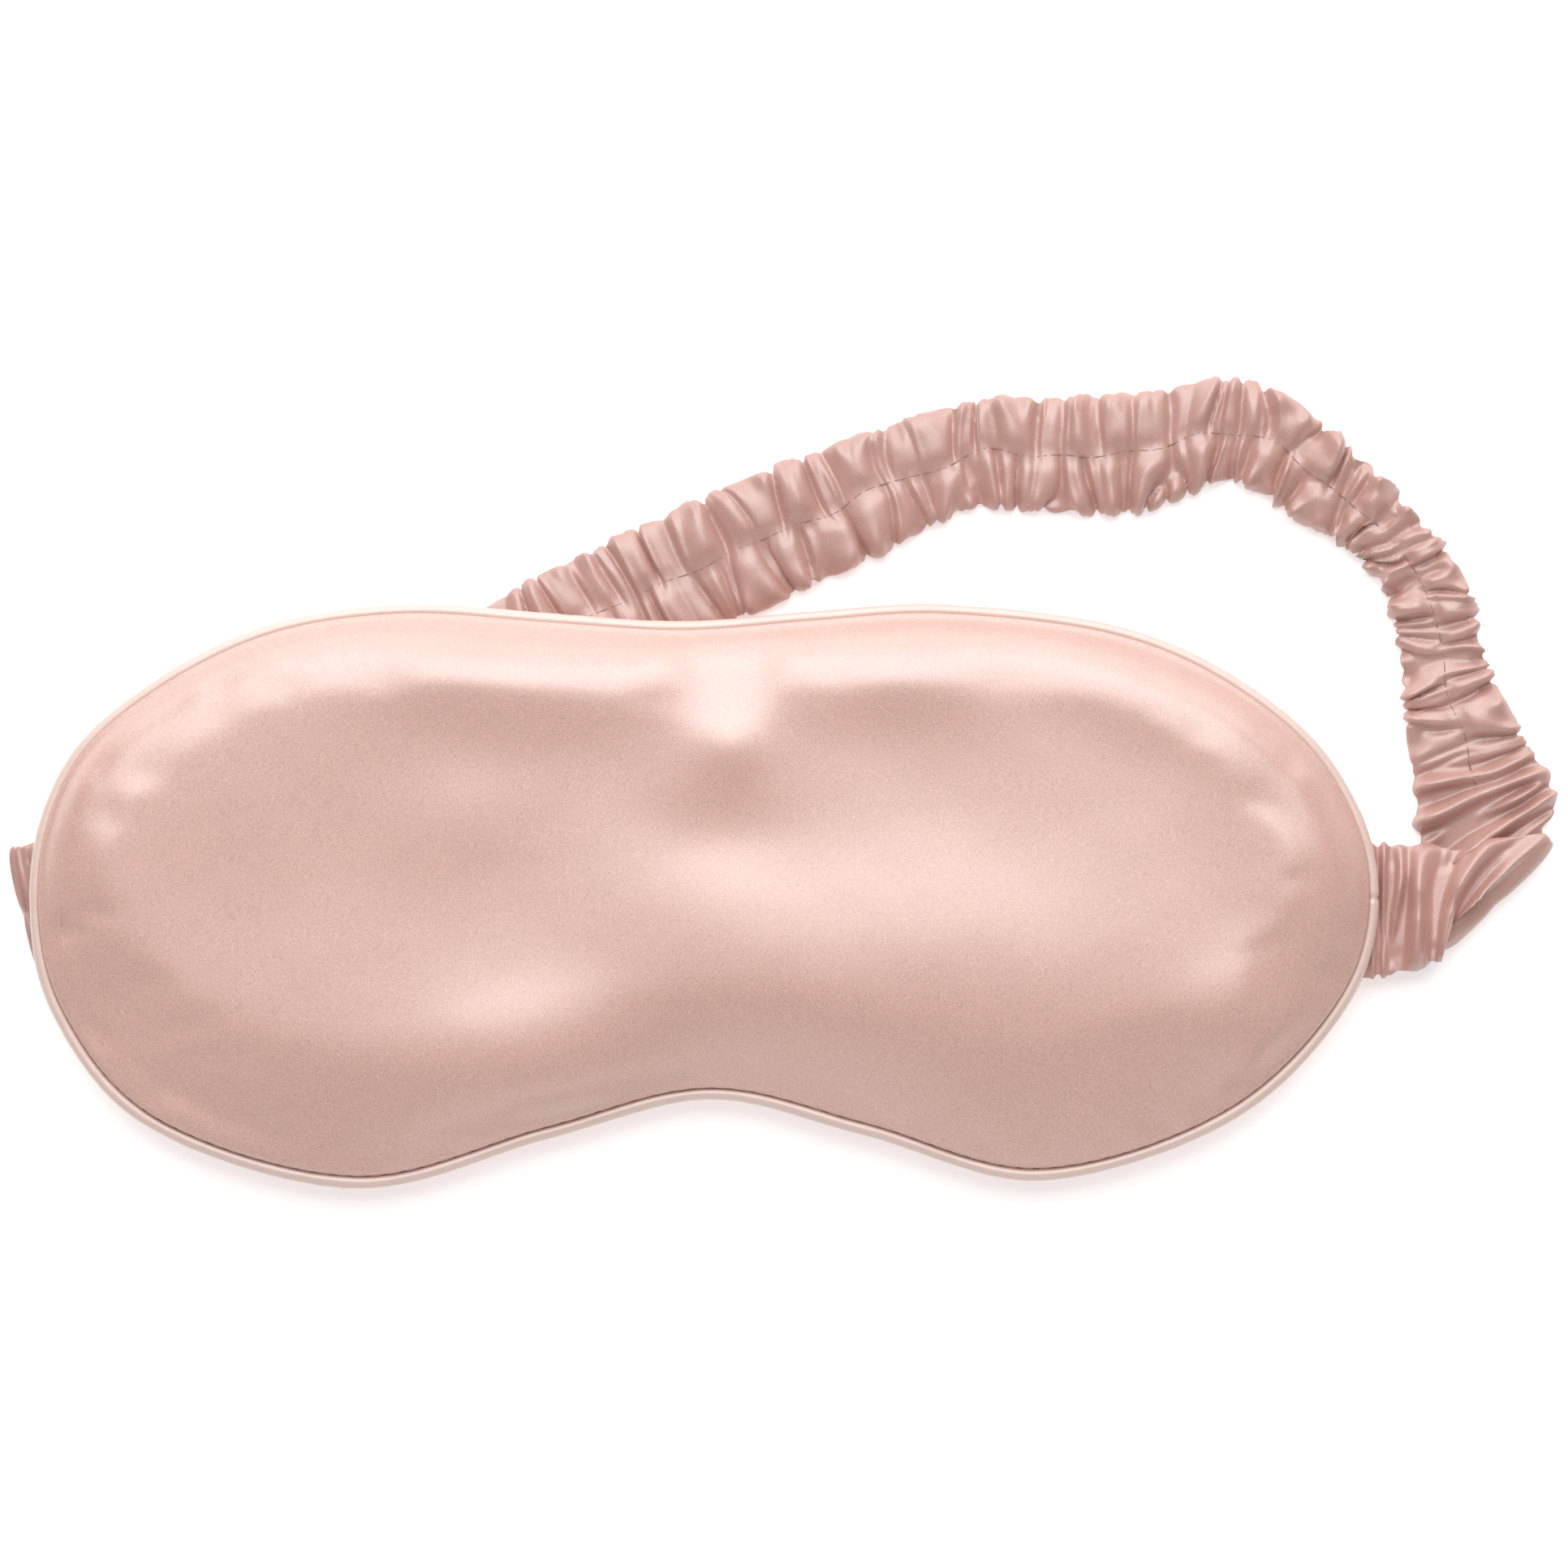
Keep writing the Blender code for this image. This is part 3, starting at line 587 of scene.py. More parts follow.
def inflate(obj, held, pressure):
    """Swell a panel with a cloth simulation, its edge held still and its movement capped."""
    edge = obj.vertex_groups.new(name="edge")
    edge.add(held, 1.0, "REPLACE")
    before = coordinates(obj)
    cloth = obj.modifiers.new("Inflate", "CLOTH")
    settings = cloth.settings
    settings.quality = CLOTH_QUALITY
    settings.mass = CLOTH_MASS
    settings.use_pressure = True
    settings.uniform_pressure_force = pressure
    settings.vertex_group_mass = edge.name
    settings.effector_weights.gravity = 0
    cloth.point_cache.frame_start = 1
    cloth.point_cache.frame_end = CLOTH_FRAMES
    for step in range(1, CLOTH_FRAMES + 1):
        bpy.context.scene.frame_set(step)
    apply_modifiers(obj)
    moved = coordinates(obj) - before
    far = np.linalg.norm(moved, axis=1)[:, None]
    bpy.context.scene.frame_set(1)
    set_coordinates(obj, before + moved * np.minimum(1, SWELL_CAP / np.maximum(far, 1e-6)))
    obj.vertex_groups.clear()


def make_panel(name, height, overhang, inwards, seed, material):
    """A padded panel whose edge curls over and tucks in beside the piping.

    Its form is given by height. It starts a little inside that and the simulation swells it by up to
    SWELL_CAP, then come one subdivision and the gathers of the seam.
    """
    outline = closed_curve(OUTLINE, RING_POINTS)
    over = overhang * smooth(outline[:, 1], *OVERHANG_Y)[:, None]
    insets = [tuck for tuck, _ in EDGE_TUCK] + list(EDGE_INSETS)
    insets = [distance - over * share for distance, share in zip(insets, OVERHANG_SHARES)]
    plan, faces = panel_plan(outline, CROSS_STEPS, insets)
    away, along = from_edge(plan[:, 0], plan[:, 1])
    z = height(plan[:, 0], plan[:, 1], away, along)
    tucked = len(EDGE_TUCK) * RING_POINTS
    edge_z = z[tucked : tucked + RING_POINTS]
    for k, (_, rise) in enumerate(EDGE_TUCK):
        share = rise / (FRONT_EDGE_Z - SEAM_Z)
        z[k * RING_POINTS : (k + 1) * RING_POINTS] = mix(SEAM_Z, edge_z, share)
    held = tucked + 2 * RING_POINTS
    slack = SLACK * inwards * smooth(away, EDGE_INSETS[1], SLACK_REACH)
    obj = new_object(name, np.column_stack([plan, z - slack]), faces, material)
    inflate(obj, list(range(held)), CLOTH_PRESSURE * inwards)
    finer = obj.modifiers.new("Subdivision", "SUBSURF")
    finer.levels = 1
    apply_modifiers(obj)
    co = coordinates(obj)
    away, along = from_edge(co[:, 0], co[:, 1])
    share = smooth(inwards * (co[:, 2] - SEAM_Z), *PUCKER_RISE)
    co[:, 2] += inwards * seam_puckers(away, along, seed) * share
    co[:, 2] = np.maximum(co[:, 2], BACK_REST_Z)
    set_coordinates(obj, co)
    return obj


def thicken(obj, thickness, offset):
    shell = obj.modifiers.new("Thickness", "SOLIDIFY")
    shell.thickness = thickness * MM
    shell.offset = offset
    return apply_modifiers(obj)


def make_filling(name, low, high, material):
    """A closed pad between two heights given as functions of the plan."""
    points = FILLING_POINTS
    plan, faces = panel_plan(closed_curve(OUTLINE, points), FILLING_STEPS, FILLING_INSETS)
    away, along = from_edge(plan[:, 0], plan[:, 1])
    bottom = low(plan[:, 0], plan[:, 1], away, along)
    top = high(plan[:, 0], plan[:, 1], away, along)
    count = len(plan)
    vertices = np.vstack([np.column_stack([plan, top]), np.column_stack([plan, bottom])])
    sides = [(i, i + count, (i + 1) % points + count, (i + 1) % points) for i in range(points)]
    under = [tuple(count + v for v in reversed(face)) for face in faces]
    obj = new_object(name, vertices, faces + under + sides, material)
    fix_normals(obj)
    return obj


def ring_faces(rings, sides, first=0, closed=False):
    """Quads between rings of points that follow each other from the vertex first."""
    faces = []
    for i in range(rings if closed else rings - 1):
        a = first + i * sides
        b = first + (i + 1) % rings * sides
        for k in range(sides):
            faces.append((a + k, a + (k + 1) % sides, b + (k + 1) % sides, b + k))
    return faces


def end_faces(rings, sides, first=0):
    """The two faces that close a row of rings."""
    last = first + (rings - 1) * sides
    return [tuple(range(first, first + sides)), tuple(range(last, last + sides))[::-1]]


def tube(name, path, radii, sides, material, closed):
    """A round tube along a path that lies near flat, with its own radius at each point."""
    path = np.asarray(path, float)
    along = np.gradient(path, axis=0)
    if closed:
        along = np.roll(path, -1, axis=0) - np.roll(path, 1, axis=0)
    along /= np.linalg.norm(along, axis=1)[:, None]
    side = np.cross(along, (0, 0, 1))
    side /= np.linalg.norm(side, axis=1)[:, None]
    up = np.cross(side, along)
    turn = 2 * math.pi * np.arange(sides) / sides
    ring = (np.cos(turn)[None, :, None] * side[:, None] + np.sin(turn)[None, :, None] * up[:, None])
    points = (path[:, None] + ring * np.asarray(radii)[:, None, None]).reshape(-1, 3)
    faces = ring_faces(len(path), sides, closed=closed)
    if not closed:
        faces += end_faces(len(path), sides)
    obj = new_object(name, points, faces, material)
    fix_normals(obj)
    return obj


def make_piping(material):
    """The piping's cover, a little uneven, with a notch where its two ends meet."""
    path = inset(closed_curve(OUTLINE, PIPING_POINTS), PIPING_RADIUS)
    along = np.arange(PIPING_POINTS) * OUTLINE_LENGTH / PIPING_POINTS
    around = round_trip(along)
    radii = PIPING_RADIUS * uneven(1, PIPING_SWELLS, *around)
    depth, half_width = PIPING_NOTCH
    radii = radii - depth * bell(along - (OUTLINE_LENGTH - PIPING_BUTT), half_width)
    z = uneven(SEAM_Z, PIPING_WAVES, *around)
    return tube("piping", np.column_stack([path, z]), radii, PIPING_SIDES, material, True)


def capsules(name, starts, ends, ups, radius, material):
    """Short round-ended stitches as one mesh."""
    turn = 2 * math.pi * np.arange(STITCH_SIDES) / STITCH_SIDES
    rings = len(STITCH_PROFILE)
    vertices = []
    faces = []
    for start, end, up in zip(starts, ends, ups):
        way = end - start
        length = np.linalg.norm(way)
        way = way / length
        side = np.cross(way, up)
        side /= np.linalg.norm(side)
        over = np.cross(side, way)
        faces += ring_faces(rings, STITCH_SIDES, len(vertices))
        faces += [face[::-1] for face in end_faces(rings, STITCH_SIDES, len(vertices))]
        for share, size in STITCH_PROFILE:
            centre = start + way * length * share
            for a in turn:
                vertices.append(centre + (side * math.cos(a) + over * math.sin(a)) * radius * size)
    obj = new_object(name, np.array(vertices), faces, material)
    fix_normals(obj)
    return obj


def make_edge_stitches(material):
    """The edge seam's stitches, sunk in the groove beside the piping."""
    ring = closed_curve(OUTLINE, EDGE_STITCHES * EDGE_STITCH_STEPS)
    line = inset(ring, EDGE_INSETS[0] - EDGE_STITCH_OUT)
    points = np.column_stack([line, np.full(len(line), EDGE_STITCH_Z)])
    starts, ends = (points[step::EDGE_STITCH_STEPS] for step in EDGE_STITCH_SPAN)
    ups = [np.array((0, 0, 1.0))] * len(starts)
    return capsules("edge_seam_stitches", starts, ends, ups, EDGE_STITCH_RADIUS, material)


def fold(row, low_z, low_half, outwards):
    """Stations round a half turn, from the upper layer down to the lower one."""
    outer, inner, high_z, _, high_half, gather, pitch = row
    rib = Vector(outer) - Vector(inner)
    way = Vector((rib.y, -rib.x)).normalized() * outwards
    radius = (high_z - low_z) / 2
    rows = []
    for k in range(FOLD_STEPS + 1):
        turn = math.pi * k / FOLD_STEPS
        shift = way * radius * math.sin(turn)
        z = low_z + radius * (1 + math.cos(turn))
        half = mix(high_half, low_half, k / FOLD_STEPS)
        rows.append((Vector(outer) + shift, Vector(inner) + shift, z, z, half, gather, pitch))
    return rows


class Strap:
    """The strap's path, and its surface at any place along and across it."""

    def __init__(self, stations):
        rows = np.array([
            (*outer, outer_z, *inner, inner_z, half, gather, pitch)
            for outer, inner, outer_z, inner_z, half, gather, pitch in stations
        ])
        dense = self.through(rows)
        centre = (dense[:, 0:3] + dense[:, 3:6]) / 2
        steps = np.linalg.norm(np.diff(centre, axis=0), axis=1)
        self.s = np.concatenate([[0], np.cumsum(steps)])
        self.length = self.s[-1]
        self.centre = centre
        self.rib = (dense[:, 0:3] - dense[:, 3:6]) / 2
        along = np.gradient(centre, self.s, axis=0)
        normal = np.cross(self.rib, along)
        normal /= np.linalg.norm(normal, axis=1)[:, None]
        self.normal = normal if normal[len(normal) // 2, 2] > 0 else -normal
        self.along = along / np.linalg.norm(along, axis=1)[:, None]
        self.half, self.gather, self.pitch = dense[:, 6], dense[:, 7], dense[:, 8]
        self.folds = [self.make_folds(seed) for seed in CREASE_SEEDS]
        self.nubs = [self.make_folds(seed, NUB_SCALE) for seed in NUB_SEEDS]
        self.across = self.make_folds(THROUGH_SEED, THROUGH_SCALE)

    @staticmethod
    def through(rows):
        """Many rows on the smooth curve through a few, spaced by the length between them."""
        centre = (rows[:, 0:3] + rows[:, 3:6]) / 2
        at = np.concatenate([[0], np.cumsum(np.linalg.norm(np.diff(centre, axis=0), axis=1))])
        gap = np.diff(at)[:, None]
        slope = np.diff(rows, axis=0) / gap
        tangent = np.vstack([
            slope[:1],
            (slope[:-1] * gap[1:] + slope[1:] * gap[:-1]) / (gap[1:] + gap[:-1]),
            slope[-1:],
        ])
        want = np.arange(0, at[-1], STRAP_SAMPLE)
        i = np.clip(np.searchsorted(at, want, side="right") - 1, 0, len(gap) - 1)
        t = ((want - at[i]) / gap[i, 0])[:, None]
        h = gap[i]
        return (
            rows[i] * (1 - 3 * t**2 + 2 * t**3)
            + tangent[i] * h * (t - 2 * t**2 + t**3)
            + rows[i + 1] * (3 * t**2 - 2 * t**3)
            + tangent[i + 1] * h * (t**3 - t**2)
        )

    def make_folds(self, seed, scale=1.0):
        """Places of the creases along one half of the strap, and the shape of the fold after each."""
        rng = np.random.default_rng(seed)
        places = [-rng.uniform(*FIRST_CREASE)]
        while places[-1] < self.length + CREASES_BEYOND:
            pitch = np.interp(places[-1], self.s, self.pitch)
            share = rng.choice(CREASE_SPACINGS) * rng.uniform(*SPACING_SPREAD)
            places.append(places[-1] + scale * pitch * share)
        n = len(places)
        return {
            "at": np.array(places),
            "height": rng.uniform(0.7, 1.15, n),
            "skew": rng.uniform(0.6, 1.7, n),
            "tilt": rng.normal(0, 0.45, n),
            "power": rng.uniform(1.5, 2.4, n),
            "groove": rng.uniform(0.1, 0.9, n) ** 1.5,
            "ridge": rng.uniform(0, 1, n) ** 2,
            "lean": rng.normal(0, 0.75, n),
        }

    @staticmethod
    def folded(folds, s):
        """(height of the gathered cloth, how far it leans over) at places along the strap."""
        at = folds["at"]
        i = np.clip(np.searchsorted(at, s, side="right") - 1, 0, len(at) - 2)
        width = at[i + 1] - at[i]
        u = np.clip((s - at[i]) / width, 0, 1)
        bent = u ** folds["skew"][i]
        pillow = 1 - np.abs(2 * bent - 1) ** folds["power"][i]
        size = np.clip(width / FULL_FOLD, *FOLD_RANGE)
        rise = folds["height"][i] * size * pillow
        value = rise + folds["tilt"][i] * (u - 0.5) * pillow**TILT_POWER - FOLD_BASE
        near = np.where(u < 0.5, i, i + 1)
        gap = s - at[near]
        depth, half_width = GROOVE
        value = value - depth * folds["groove"][near] * bell(gap, half_width)
        height, half_width, place = RIDGE
        value = value + height * folds["ridge"][near] * bell(gap - place, half_width)
        return value, folds["lean"][i] * pillow * size

    @staticmethod
    def drift(fields, s, reach):
        """How far a crease has moved along the strap at this reach from the middle row."""
        near, far = (size * wander(seed, wavelength, s) for seed, wavelength, size in fields)
        return near * reach + far * reach**2

    def cloth(self, s, t, side):
        """(height, push on the edge, lean along the strap) of the gathers, before their depth."""
        reach = np.abs(t)
        drift = np.where(t >= 0, self.drift(OUTER_DRIFT, s, reach), self.drift(INNER_DRIFT, s, reach))
        seed, wavelength, size = UNDER_DRIFT
        drift = drift + (1 - side) * size * wander(seed, wavelength, s) * (1 - reach)
        (outer, outer_lean), (inner, inner_lean) = (self.folded(f, s + drift) for f in self.folds)
        (fine_outer, _), (fine_inner, _) = (self.folded(f, s + drift * NUB_DRIFT) for f in self.nubs)
        through, _ = self.folded(self.across, s + THROUGH_DRIFT * drift)
        pick = smooth(t, -MIDDLE_BLEND, MIDDLE_BLEND)
        main = CREASE_SHARE * mix(inner, outer, pick) + THROUGH_SHARE * through
        small = mix(fine_inner, fine_outer, pick)
        fine = (smooth(reach, *NUB_REACH) + bell(reach, NUB_MIDDLE)) / 2
        held = MIDDLE_HEIGHT + (1 - MIDDLE_HEIGHT) * smooth(reach, *MIDDLE_REACH)
        value = main * held + small * fine * NUB_SHARE
        return value, main + small * NUB_PUSH, mix(inner_lean, outer_lean, pick) * held

    def root_folds(self, s, t):
        """The larger folds near the right root and the turn beside it, in millimetres."""
        total = 0
        bend_seed, fade_seed = ROOT_FOLD_SEEDS
        bend_size, bend_wave = ROOT_FOLD_BEND
        fade_size, fade_wave = ROOT_FOLD_FADE
        dip, dip_place = ROOT_FOLD_SIDES
        for k, (distance, half_width, height, lean) in enumerate(ROOT_FOLDS):
            bend = bend_size * half_width * wander(bend_seed + k, bend_wave, t)
            gap = (s + lean * t + bend - (self.length - distance)) / half_width
            sides = bell(gap - dip_place) + bell(gap + dip_place)
            fade = 1 + fade_size * wander(fade_seed + k, fade_wave, t)
            total = total + height * fade * (bell(gap) - dip * sides)
        return total

    def surface(self, s, t, side):
        """Points of the casing: s along, t from -1 at the inner edge to 1 at the outer, side 1 or -1."""
        s, t, side = np.broadcast_arrays(np.asarray(s, float), t, side)
        at = np.clip(s, 0, self.length)
        centre, rib, normal, along = (
            np.stack([np.interp(at, self.s, v[:, k]) for k in range(3)], axis=-1)
            for v in (self.centre, self.rib, self.normal, self.along)
        )
        half, gather = (np.interp(at, self.s, v) for v in (self.half, self.gather))
        gather = gather * (1 - CALM_SHARE * smooth(at, *(self.length - d for d in CALM)))
        value, push, lean = self.cloth(at, t, side)
        width = np.linalg.norm(rib, axis=-1)
        reach = np.abs(t)
        rounded = np.clip(1 - reach**SECTION_POWER, 0, 1) ** SECTION_BLUNTNESS
        rim = np.clip(1 - reach**RIM_POWER, 0, 1)
        pinch_share, pinch_half_width = MIDDLE_PINCH
        pinch = 1 - pinch_share * bell(t, pinch_half_width)
        roots = self.root_folds(at, t)
        through = (half * rounded + (GATHER_HEIGHT * gather * value + roots) * rim) * pinch
        least = CASING_LEAST * (1 - smooth(reach, ELASTIC_SHARE, ELASTIC_SHARE + CASING_LEAST_FADE))
        through = np.maximum(through, np.maximum(least, CASING_RIM * rounded))
        sway = (t + SWAY_SIZE * wander(*SWAY, at) * (1 - t * t)) * width
        bulge = GATHER_PUSH * gather * np.clip(push, *PUSH_RANGE)
        bulge = bulge + ROOT_PUSH * np.clip(roots, *ROOT_PUSH_RANGE)
        across = sway + np.sign(t) * bulge * smooth(reach, *PUSH_REACH)
        edge_roll = EDGE_ROLL_SIZE * gather * wander(*EDGE_ROLL, at) * smooth(reach, *EDGE_ROLL_REACH)
        return (
            centre
            + rib / width[..., None] * across[..., None]
            + normal * (side * through + edge_roll)[..., None]
            + along * (GATHER_LEAN * gather * lean * rim)[..., None]
        )


def make_casing(strap, material):
    """The gathered satin tube, with its own cloth coordinates for the weave."""
    rows = np.arange(0, strap.length, STRAP_STEP)
    turn = np.linspace(0, math.pi, STRAP_SIDE_POINTS + 1)
    across = np.sign(np.cos(turn)) * np.abs(np.cos(turn)) ** STRAP_SIDE_SPREAD
    t = np.concatenate([across[:-1], -across[:-1]])
    side = np.concatenate([np.ones(STRAP_SIDE_POINTS), -np.ones(STRAP_SIDE_POINTS)])
    points = strap.surface(rows[:, None], t[None, :], side[None, :])
    points[..., 2] = np.maximum(points[..., 2], CASING_FLOOR)
    faces = ring_faces(len(rows), len(t))
    obj = new_object("strap_casing", points.reshape(-1, 3), faces, material)
    fix_normals(obj)
    girth = np.linspace(0, 2 * CASING_WIDTH, len(t), endpoint=False)
    cloth = np.stack(np.broadcast_arrays(rows[:, None], girth[None, :], 0.0), axis=-1).reshape(-1, 3)
    attribute = obj.data.attributes.new("cloth", "FLOAT_VECTOR", "POINT")
    attribute.data.foreach_set("vector", (cloth * MM).astype(np.float32).ravel())
    return obj


def make_elastic(strap, material):
    """The ribbed tape inside the casing."""
    rows = np.arange(0, strap.length, ELASTIC_STEP)
    index = np.searchsorted(strap.s, rows).clip(0, len(strap.s) - 1)
    centre, rib, normal = strap.centre[index], strap.rib[index], strap.normal[index]
    width = np.linalg.norm(rib, axis=1)[:, None]
    ribs = np.linspace(1, -1, ELASTIC_RIBS)
    t = np.concatenate([ribs, -ribs])
    side = np.concatenate([np.ones(ELASTIC_RIBS), -np.ones(ELASTIC_RIBS)])
    bead = np.where(np.arange(len(t)) % 2 == 0, ELASTIC_DIP, 1.0) * ELASTIC_HALF * side
    points = (
        centre[:, None]
        + (rib / width)[:, None] * (t[None, :, None] * width[:, None] * ELASTIC_SHARE)
        + normal[:, None] * bead[None, :, None]
    )
    faces = ring_faces(len(rows), len(t)) + end_faces(len(rows), len(t))
    obj = new_object("strap_elastic", points.reshape(-1, 3), faces, material)
    fix_normals(obj)
    return obj


def make_strap_stitches(strap, material, first, last):
    """The centre row through the casing and the elastic, on both faces."""
    starts = []
    ends = []
    ups = []
    for side in (1, -1):
        for s in np.arange(first, last, STITCH_PITCH):
            ds = STITCH_LENGTH / 2
            start, end = strap.surface(np.array([s - ds, s + ds]), 0.0, side)
            up = np.array([np.interp(s, strap.s, strap.normal[:, k]) for k in range(3)]) * side
            lift = up * STITCH_RADIUS * STITCH_LIFT
            rise = np.array((0, 0, STITCH_UNDER_RISE)) if side < 0 else 0
            starts.append(start + lift + rise)
            ends.append(end + lift + rise)
            ups.append(up)
    return capsules("strap_stitches", starts, ends, ups, STITCH_RADIUS, material)


def make_tack(name, x, material):
    """A zigzag bar of thread across a strap end, inside the seam."""
    points = []
    for k in range(TACK_STEPS + 1):
        y = TACK_Y + TACK_LENGTH * k / TACK_STEPS
        points.append((x + (TACK_HALF_WIDTH if k % 2 else -TACK_HALF_WIDTH), y, TACK_Z))
    return tube(name, points, [TACK_RADIUS] * len(points), TACK_SIDES, material, False)


# Materials


def shader_tree(name, colour, roughness):
    material = bpy.data.materials.new(name)
    material.use_nodes = True
    tree = material.node_tree
    shader = tree.nodes["Principled BSDF"]
    shader.inputs["Base Color"].default_value = (*colour, 1)
    shader.inputs["Roughness"].default_value = roughness
    return material, tree, shader


def node(tree, kind, **values):
    """A new node; each value goes to its input or setting of that name, a socket as a link."""
    made = tree.nodes.new(kind)
    for key, value in values.items():
        name = key.replace("_", " ")
        if name not in made.inputs:
            setattr(made, key, value)
        elif isinstance(value, bpy.types.NodeSocket):
            tree.links.new(value, made.inputs[name])
        else:
            made.inputs[name].default_value = value
    return made


def map_range(tree, value, **limits):
    return node(tree, "ShaderNodeMapRange", Value=value, **limits).outputs["Result"]


def blend_of(tree, first, second, share):
    return node(tree, "ShaderNodeMix", data_type="FLOAT", Factor=share, A=first, B=second).outputs[0]


def textile(name, attribute=None, **sockets):
    """Cloth with a twill grain, a fine sparkle and soft stains of lighter and darker colour."""
    colour, roughness, grain, contrast, bump = CLOTHS[name]
    material, tree, shader = shader_tree(name, colour, roughness)
    if attribute:
        where = node(tree, "ShaderNodeAttribute", attribute_name=attribute).outputs["Vector"]
    else:
        where = node(tree, "ShaderNodeTexCoord").outputs["Object"]
    turned = node(
        tree, "ShaderNodeMapping", vector_type="TEXTURE", Vector=where,
        Rotation=(0, 0, math.radians(TWILL_ANGLE)), Scale=(TWILL_STRETCH, 1, 1),
    ).outputs["Vector"]
    twill, sparkle, clouds = (
        node(tree, "ShaderNodeTexNoise", Vector=place, Scale=scale, Detail=detail).outputs["Fac"]
        for place, scale, detail in (
            (turned, 1 / grain, 1), (where, SPARKLE_RATE / grain, 2), (where, CLOUD_SCALE, 3),
        )
    )
    ribs = node(
        tree, "ShaderNodeTexWave", bands_direction="Y", Vector=turned, Detail=1,
        Scale=2 * math.pi / (WAVE_RADIANS * TWILL_PITCH), Distortion=TWILL_DISTORTION,
    ).outputs["Fac"]
    grainy = blend_of(tree, blend_of(tree, twill, sparkle, SPARKLE_SHARE), ribs, TWILL_SHARE)
    low, high = GRAIN_RANGE
    fine = map_range(tree, grainy, From_Min=low, From_Max=high, To_Min=1 - contrast, To_Max=1 + contrast)
    low, high = CLOUD_RANGE
    broad = map_range(
        tree, clouds, From_Min=low, From_Max=high, To_Min=1 - CLOUD_CONTRAST, To_Max=1 + CLOUD_CONTRAST
    )
    shade = node(tree, "ShaderNodeMath", operation="MULTIPLY")
    tree.links.new(fine, shade.inputs[0])
    tree.links.new(broad, shade.inputs[1])
    tint = node(tree, "ShaderNodeVectorMath", operation="SCALE", Vector=colour, Scale=shade.outputs[0])
    rough = map_range(
        tree, sparkle, To_Min=roughness - ROUGHNESS_SPREAD, To_Max=roughness + ROUGHNESS_SPREAD
    )
    relief = node(tree, "ShaderNodeBump", Strength=bump, Distance=RELIEF, Height=grainy)
    tree.links.new(tint.outputs["Vector"], shader.inputs["Base Color"])
    tree.links.new(rough, shader.inputs["Roughness"])
    tree.links.new(relief.outputs["Normal"], shader.inputs["Normal"])
    for socket, value in sockets.items():
        shader.inputs[socket.replace("_", " ")].default_value = value
    return material


def flat_area(distance):
    """The area inside the outline moved inwards, in square metres."""
    x, y = (inset(FINE_OUTLINE, distance) * MM).T
    return abs(np.dot(x, np.roll(y, -1)) - np.dot(y, np.roll(x, -1))) / 2


def build_mask(satin, piping, thread, edge_thread, wadding, blackout):
    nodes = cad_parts
    front = make_panel("front_panel_satin", front_height, OVERHANG, 1, 21, satin)
    thicken(front, PANEL_THICKNESS, -1)
    back = make_panel("back_panel_satin", back_height, 0, -1, 41, satin)
    thicken(back, PANEL_THICKNESS, 1)
    front_fill = make_filling(
        "front_filling",
        lambda x, y, away, along: np.full(len(x), FRONT_FILLING_LOW),
        lambda *place: front_height(*place) - FILLING_GAP,
        wadding,
    )
    back_fill = make_filling(
        "back_filling",
        lambda *place: np.minimum(back_height(*place) + FILLING_GAP, BACK_FILLING_LOW),
        lambda x, y, away, along: np.full(len(x), BACK_FILLING_HIGH),
        wadding,
    )
    pieces = [
        (front, "front_panel", "satin"), (back, "back_panel", "satin"),
        (front_fill, "front_wadding", "wadding"), (back_fill, "back_wadding", "wadding"),
        (make_piping(piping), "piping_cover", "piping_satin"),
        (make_edge_stitches(edge_thread), "edge_seam_thread", "thread"),
    ]
    for name, x in (("left_strap_tack", -TACK_X), ("right_strap_tack", TACK_X)):
        pieces.append((make_tack(name + "_thread", x, thread), name, "thread"))
    for piece, replaced, slot in pieces:
        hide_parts(replaced)
        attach(piece, "mask")
    for name, material in (("blackout_interlining", blackout), ("piping_cord", wadding)):
        nodes[name].data.materials.clear()
        nodes[name].data.materials.append(material)
    flat_area(INTERLINING_INSET)


def build_strap(satin, thread, elastic):
    left = LEFT_TAB + fold(LEFT_FOLD, *LEFT_FOLD_UNDER, -1) + LEFT_RUN
    right = RIGHT_RUN + fold(RIGHT_FOLD, *RIGHT_FOLD_UNDER, 1)[::-1] + RIGHT_TAB
    strap = Strap(left + LOOP + right)
    casing = make_casing(strap, satin)
    band = make_elastic(strap, elastic)
    x, y, z = strap.centre.T
    first = strap.s[(x < STITCH_START[0]) & (z < STITCH_START[1])].max()
    last = strap.s[(x > STITCH_END[0]) & (y > STITCH_END[1])].max()
    row = make_strap_stitches(strap, thread, first, last - STITCH_END_GAP)
    for piece, what, slot in (
        (casing, "casing", "satin"), (band, "elastic", "elastic"), (row, "stitching", "thread"),
    ):
        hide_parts(*(f"strap_{what}_{side}" for side in ("left", "loop", "right")))
        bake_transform(piece)


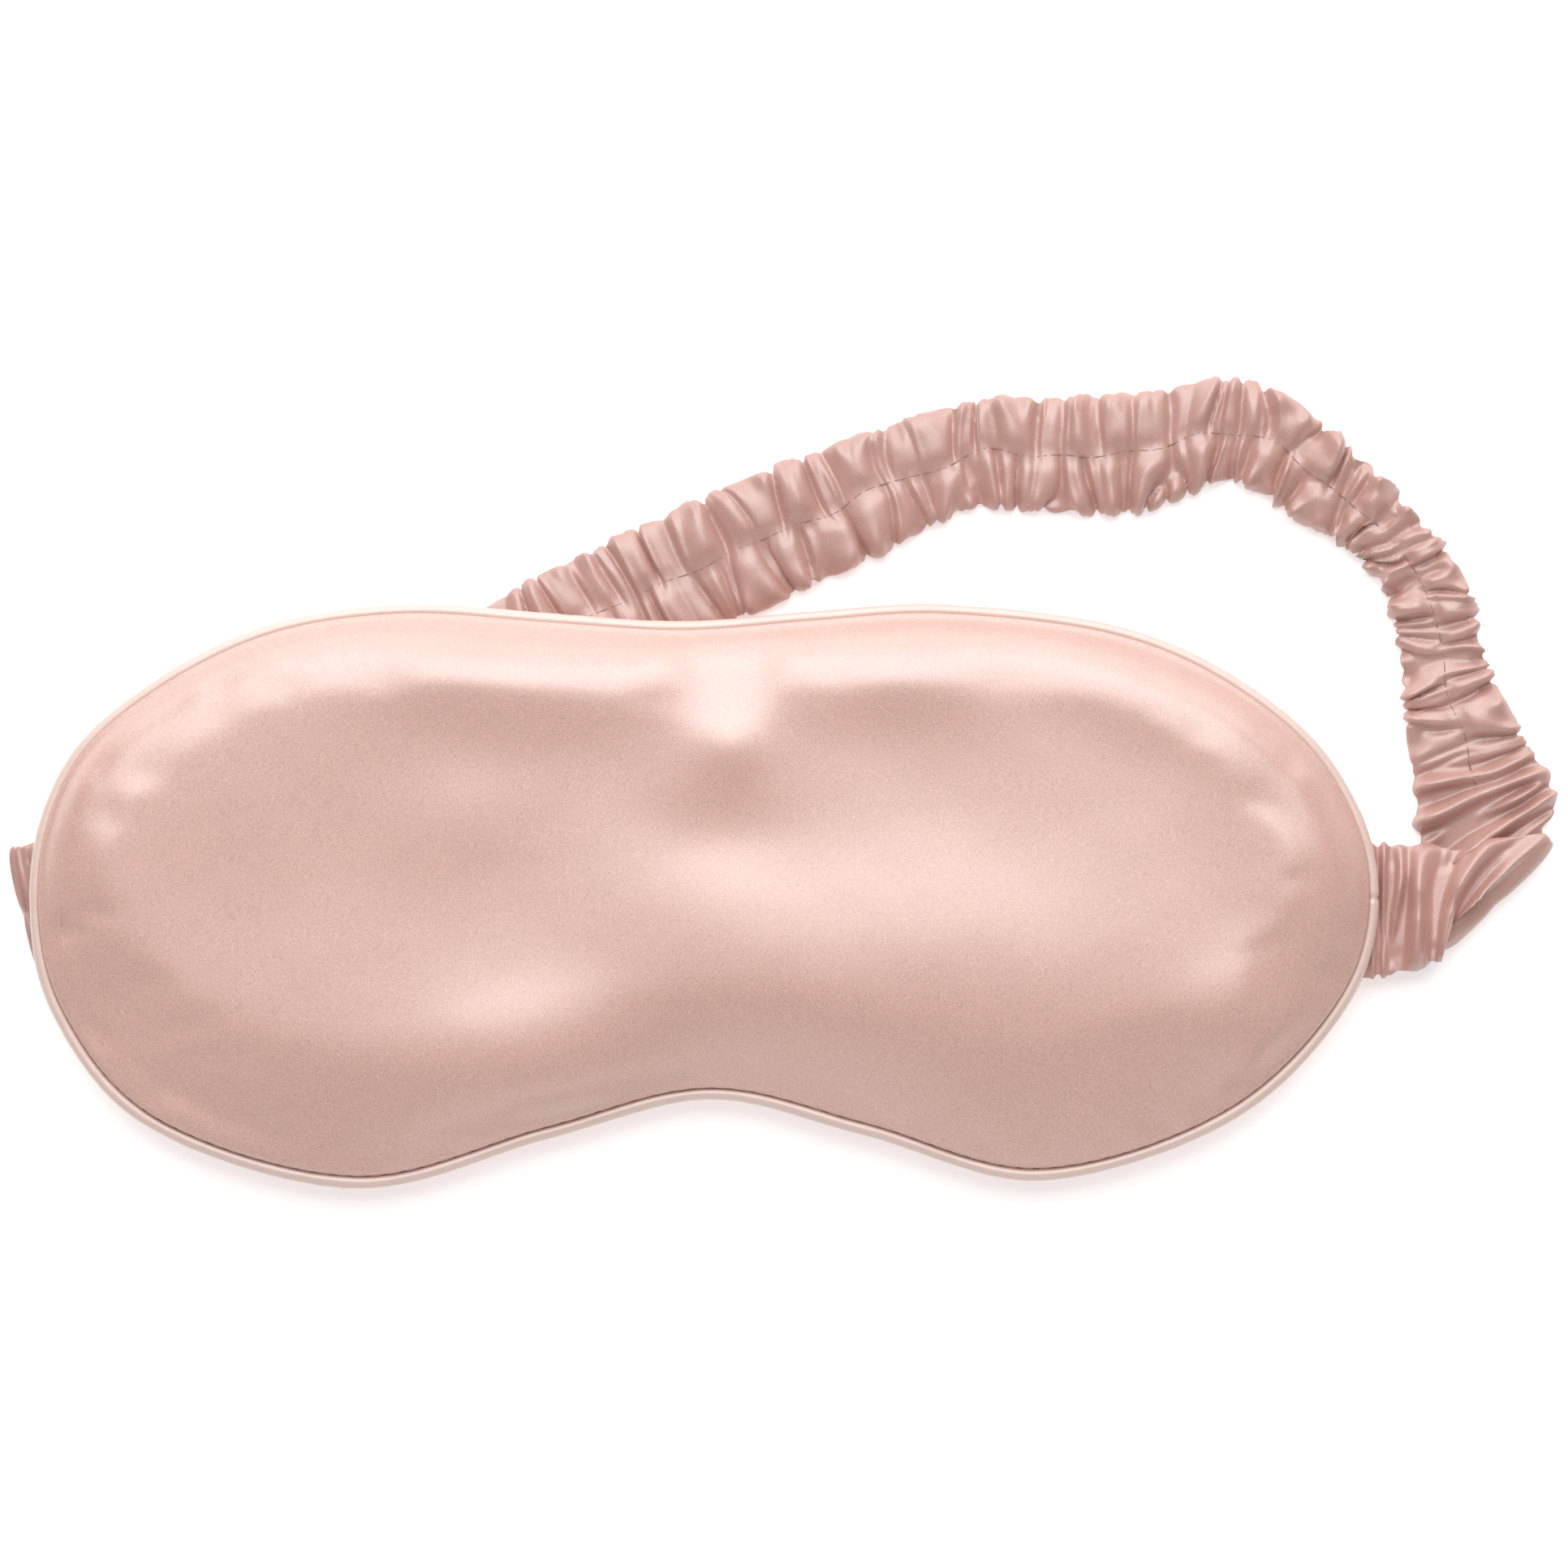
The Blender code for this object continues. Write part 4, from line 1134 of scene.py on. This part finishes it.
def build_stage():
    material, _, shader = shader_tree("floor", FLOOR, FLOOR_ROUGHNESS)
    shader.inputs["Specular IOR Level"].default_value = FLOOR_SPECULAR
    shader.inputs["Emission Color"].default_value = (1, 1, 1, 1)
    shader.inputs["Emission Strength"].default_value = FLOOR_EMISSION
    far = FLOOR_HALF_WIDTH
    corners = [(-far, -far, 0), (far, -far, 0), (far, far, 0), (-far, far, 0)]
    floor = new_object("floor", corners, [(0, 1, 2, 3)], material)
    scene = bpy.context.scene
    world = bpy.data.worlds.new("studio")
    scene.world = world
    world.use_nodes = True
    background = world.node_tree.nodes["Background"]
    background.inputs["Color"].default_value = (*WORLD, 1)
    background.inputs["Strength"].default_value = WORLD_STRENGTH
    for name, place, size, radiance in LAMPS:
        lamp = bpy.data.lights.new(name, "AREA")
        lamp.shape = "RECTANGLE"
        lamp.size, lamp.size_y = size
        lamp.energy = radiance * math.pi * size[0] * size[1]
        holder = bpy.data.objects.new(name, lamp)
        holder.location = place
        aim = Vector(LAMP_AIM) - Vector(place)
        holder.rotation_euler = aim.to_track_quat("-Z", "Y").to_euler()
        holder.visible_camera = False
        scene.collection.objects.link(holder)
    scene.view_settings.view_transform = "Standard"


def build_camera():
    camera = bpy.data.cameras.new("camera")
    camera.sensor_width = SENSOR_WIDTH
    camera.lens = SENSOR_WIDTH * CAMERA_HEIGHT / PICTURE_WIDTH
    camera.clip_end = CLIP_END
    holder = bpy.data.objects.new("camera", camera)
    holder.location = Vector((*PICTURE_CENTRE, SEAM_Z + CAMERA_HEIGHT)) * MM
    bpy.context.scene.collection.objects.link(holder)
    bpy.context.scene.camera = holder


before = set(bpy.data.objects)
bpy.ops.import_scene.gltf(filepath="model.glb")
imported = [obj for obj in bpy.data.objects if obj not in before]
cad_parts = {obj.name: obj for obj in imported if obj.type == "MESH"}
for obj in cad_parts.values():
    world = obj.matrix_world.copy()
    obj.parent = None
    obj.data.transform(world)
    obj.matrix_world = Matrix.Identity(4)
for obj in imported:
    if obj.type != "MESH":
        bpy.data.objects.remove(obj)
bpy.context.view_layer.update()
build_camera()
build_stage()
panel_satin = textile("panel_satin", **SATIN_GLOSS)
strap_satin = textile("strap_satin", "cloth", **STRAP_GLOSS)
piping_satin = textile("piping_satin", **SATIN_GLOSS)
thread_cotton = textile("sewing_thread")
wadding_fibre = textile("wadding_fibre")
blackout_cloth = textile("blackout_weave")
elastic_web = textile("elastic_web")
edge_cotton = textile("edge_thread")
build_mask(panel_satin, piping_satin, thread_cotton, edge_cotton, wadding_fibre, blackout_cloth)
build_strap(strap_satin, thread_cotton, elastic_web)
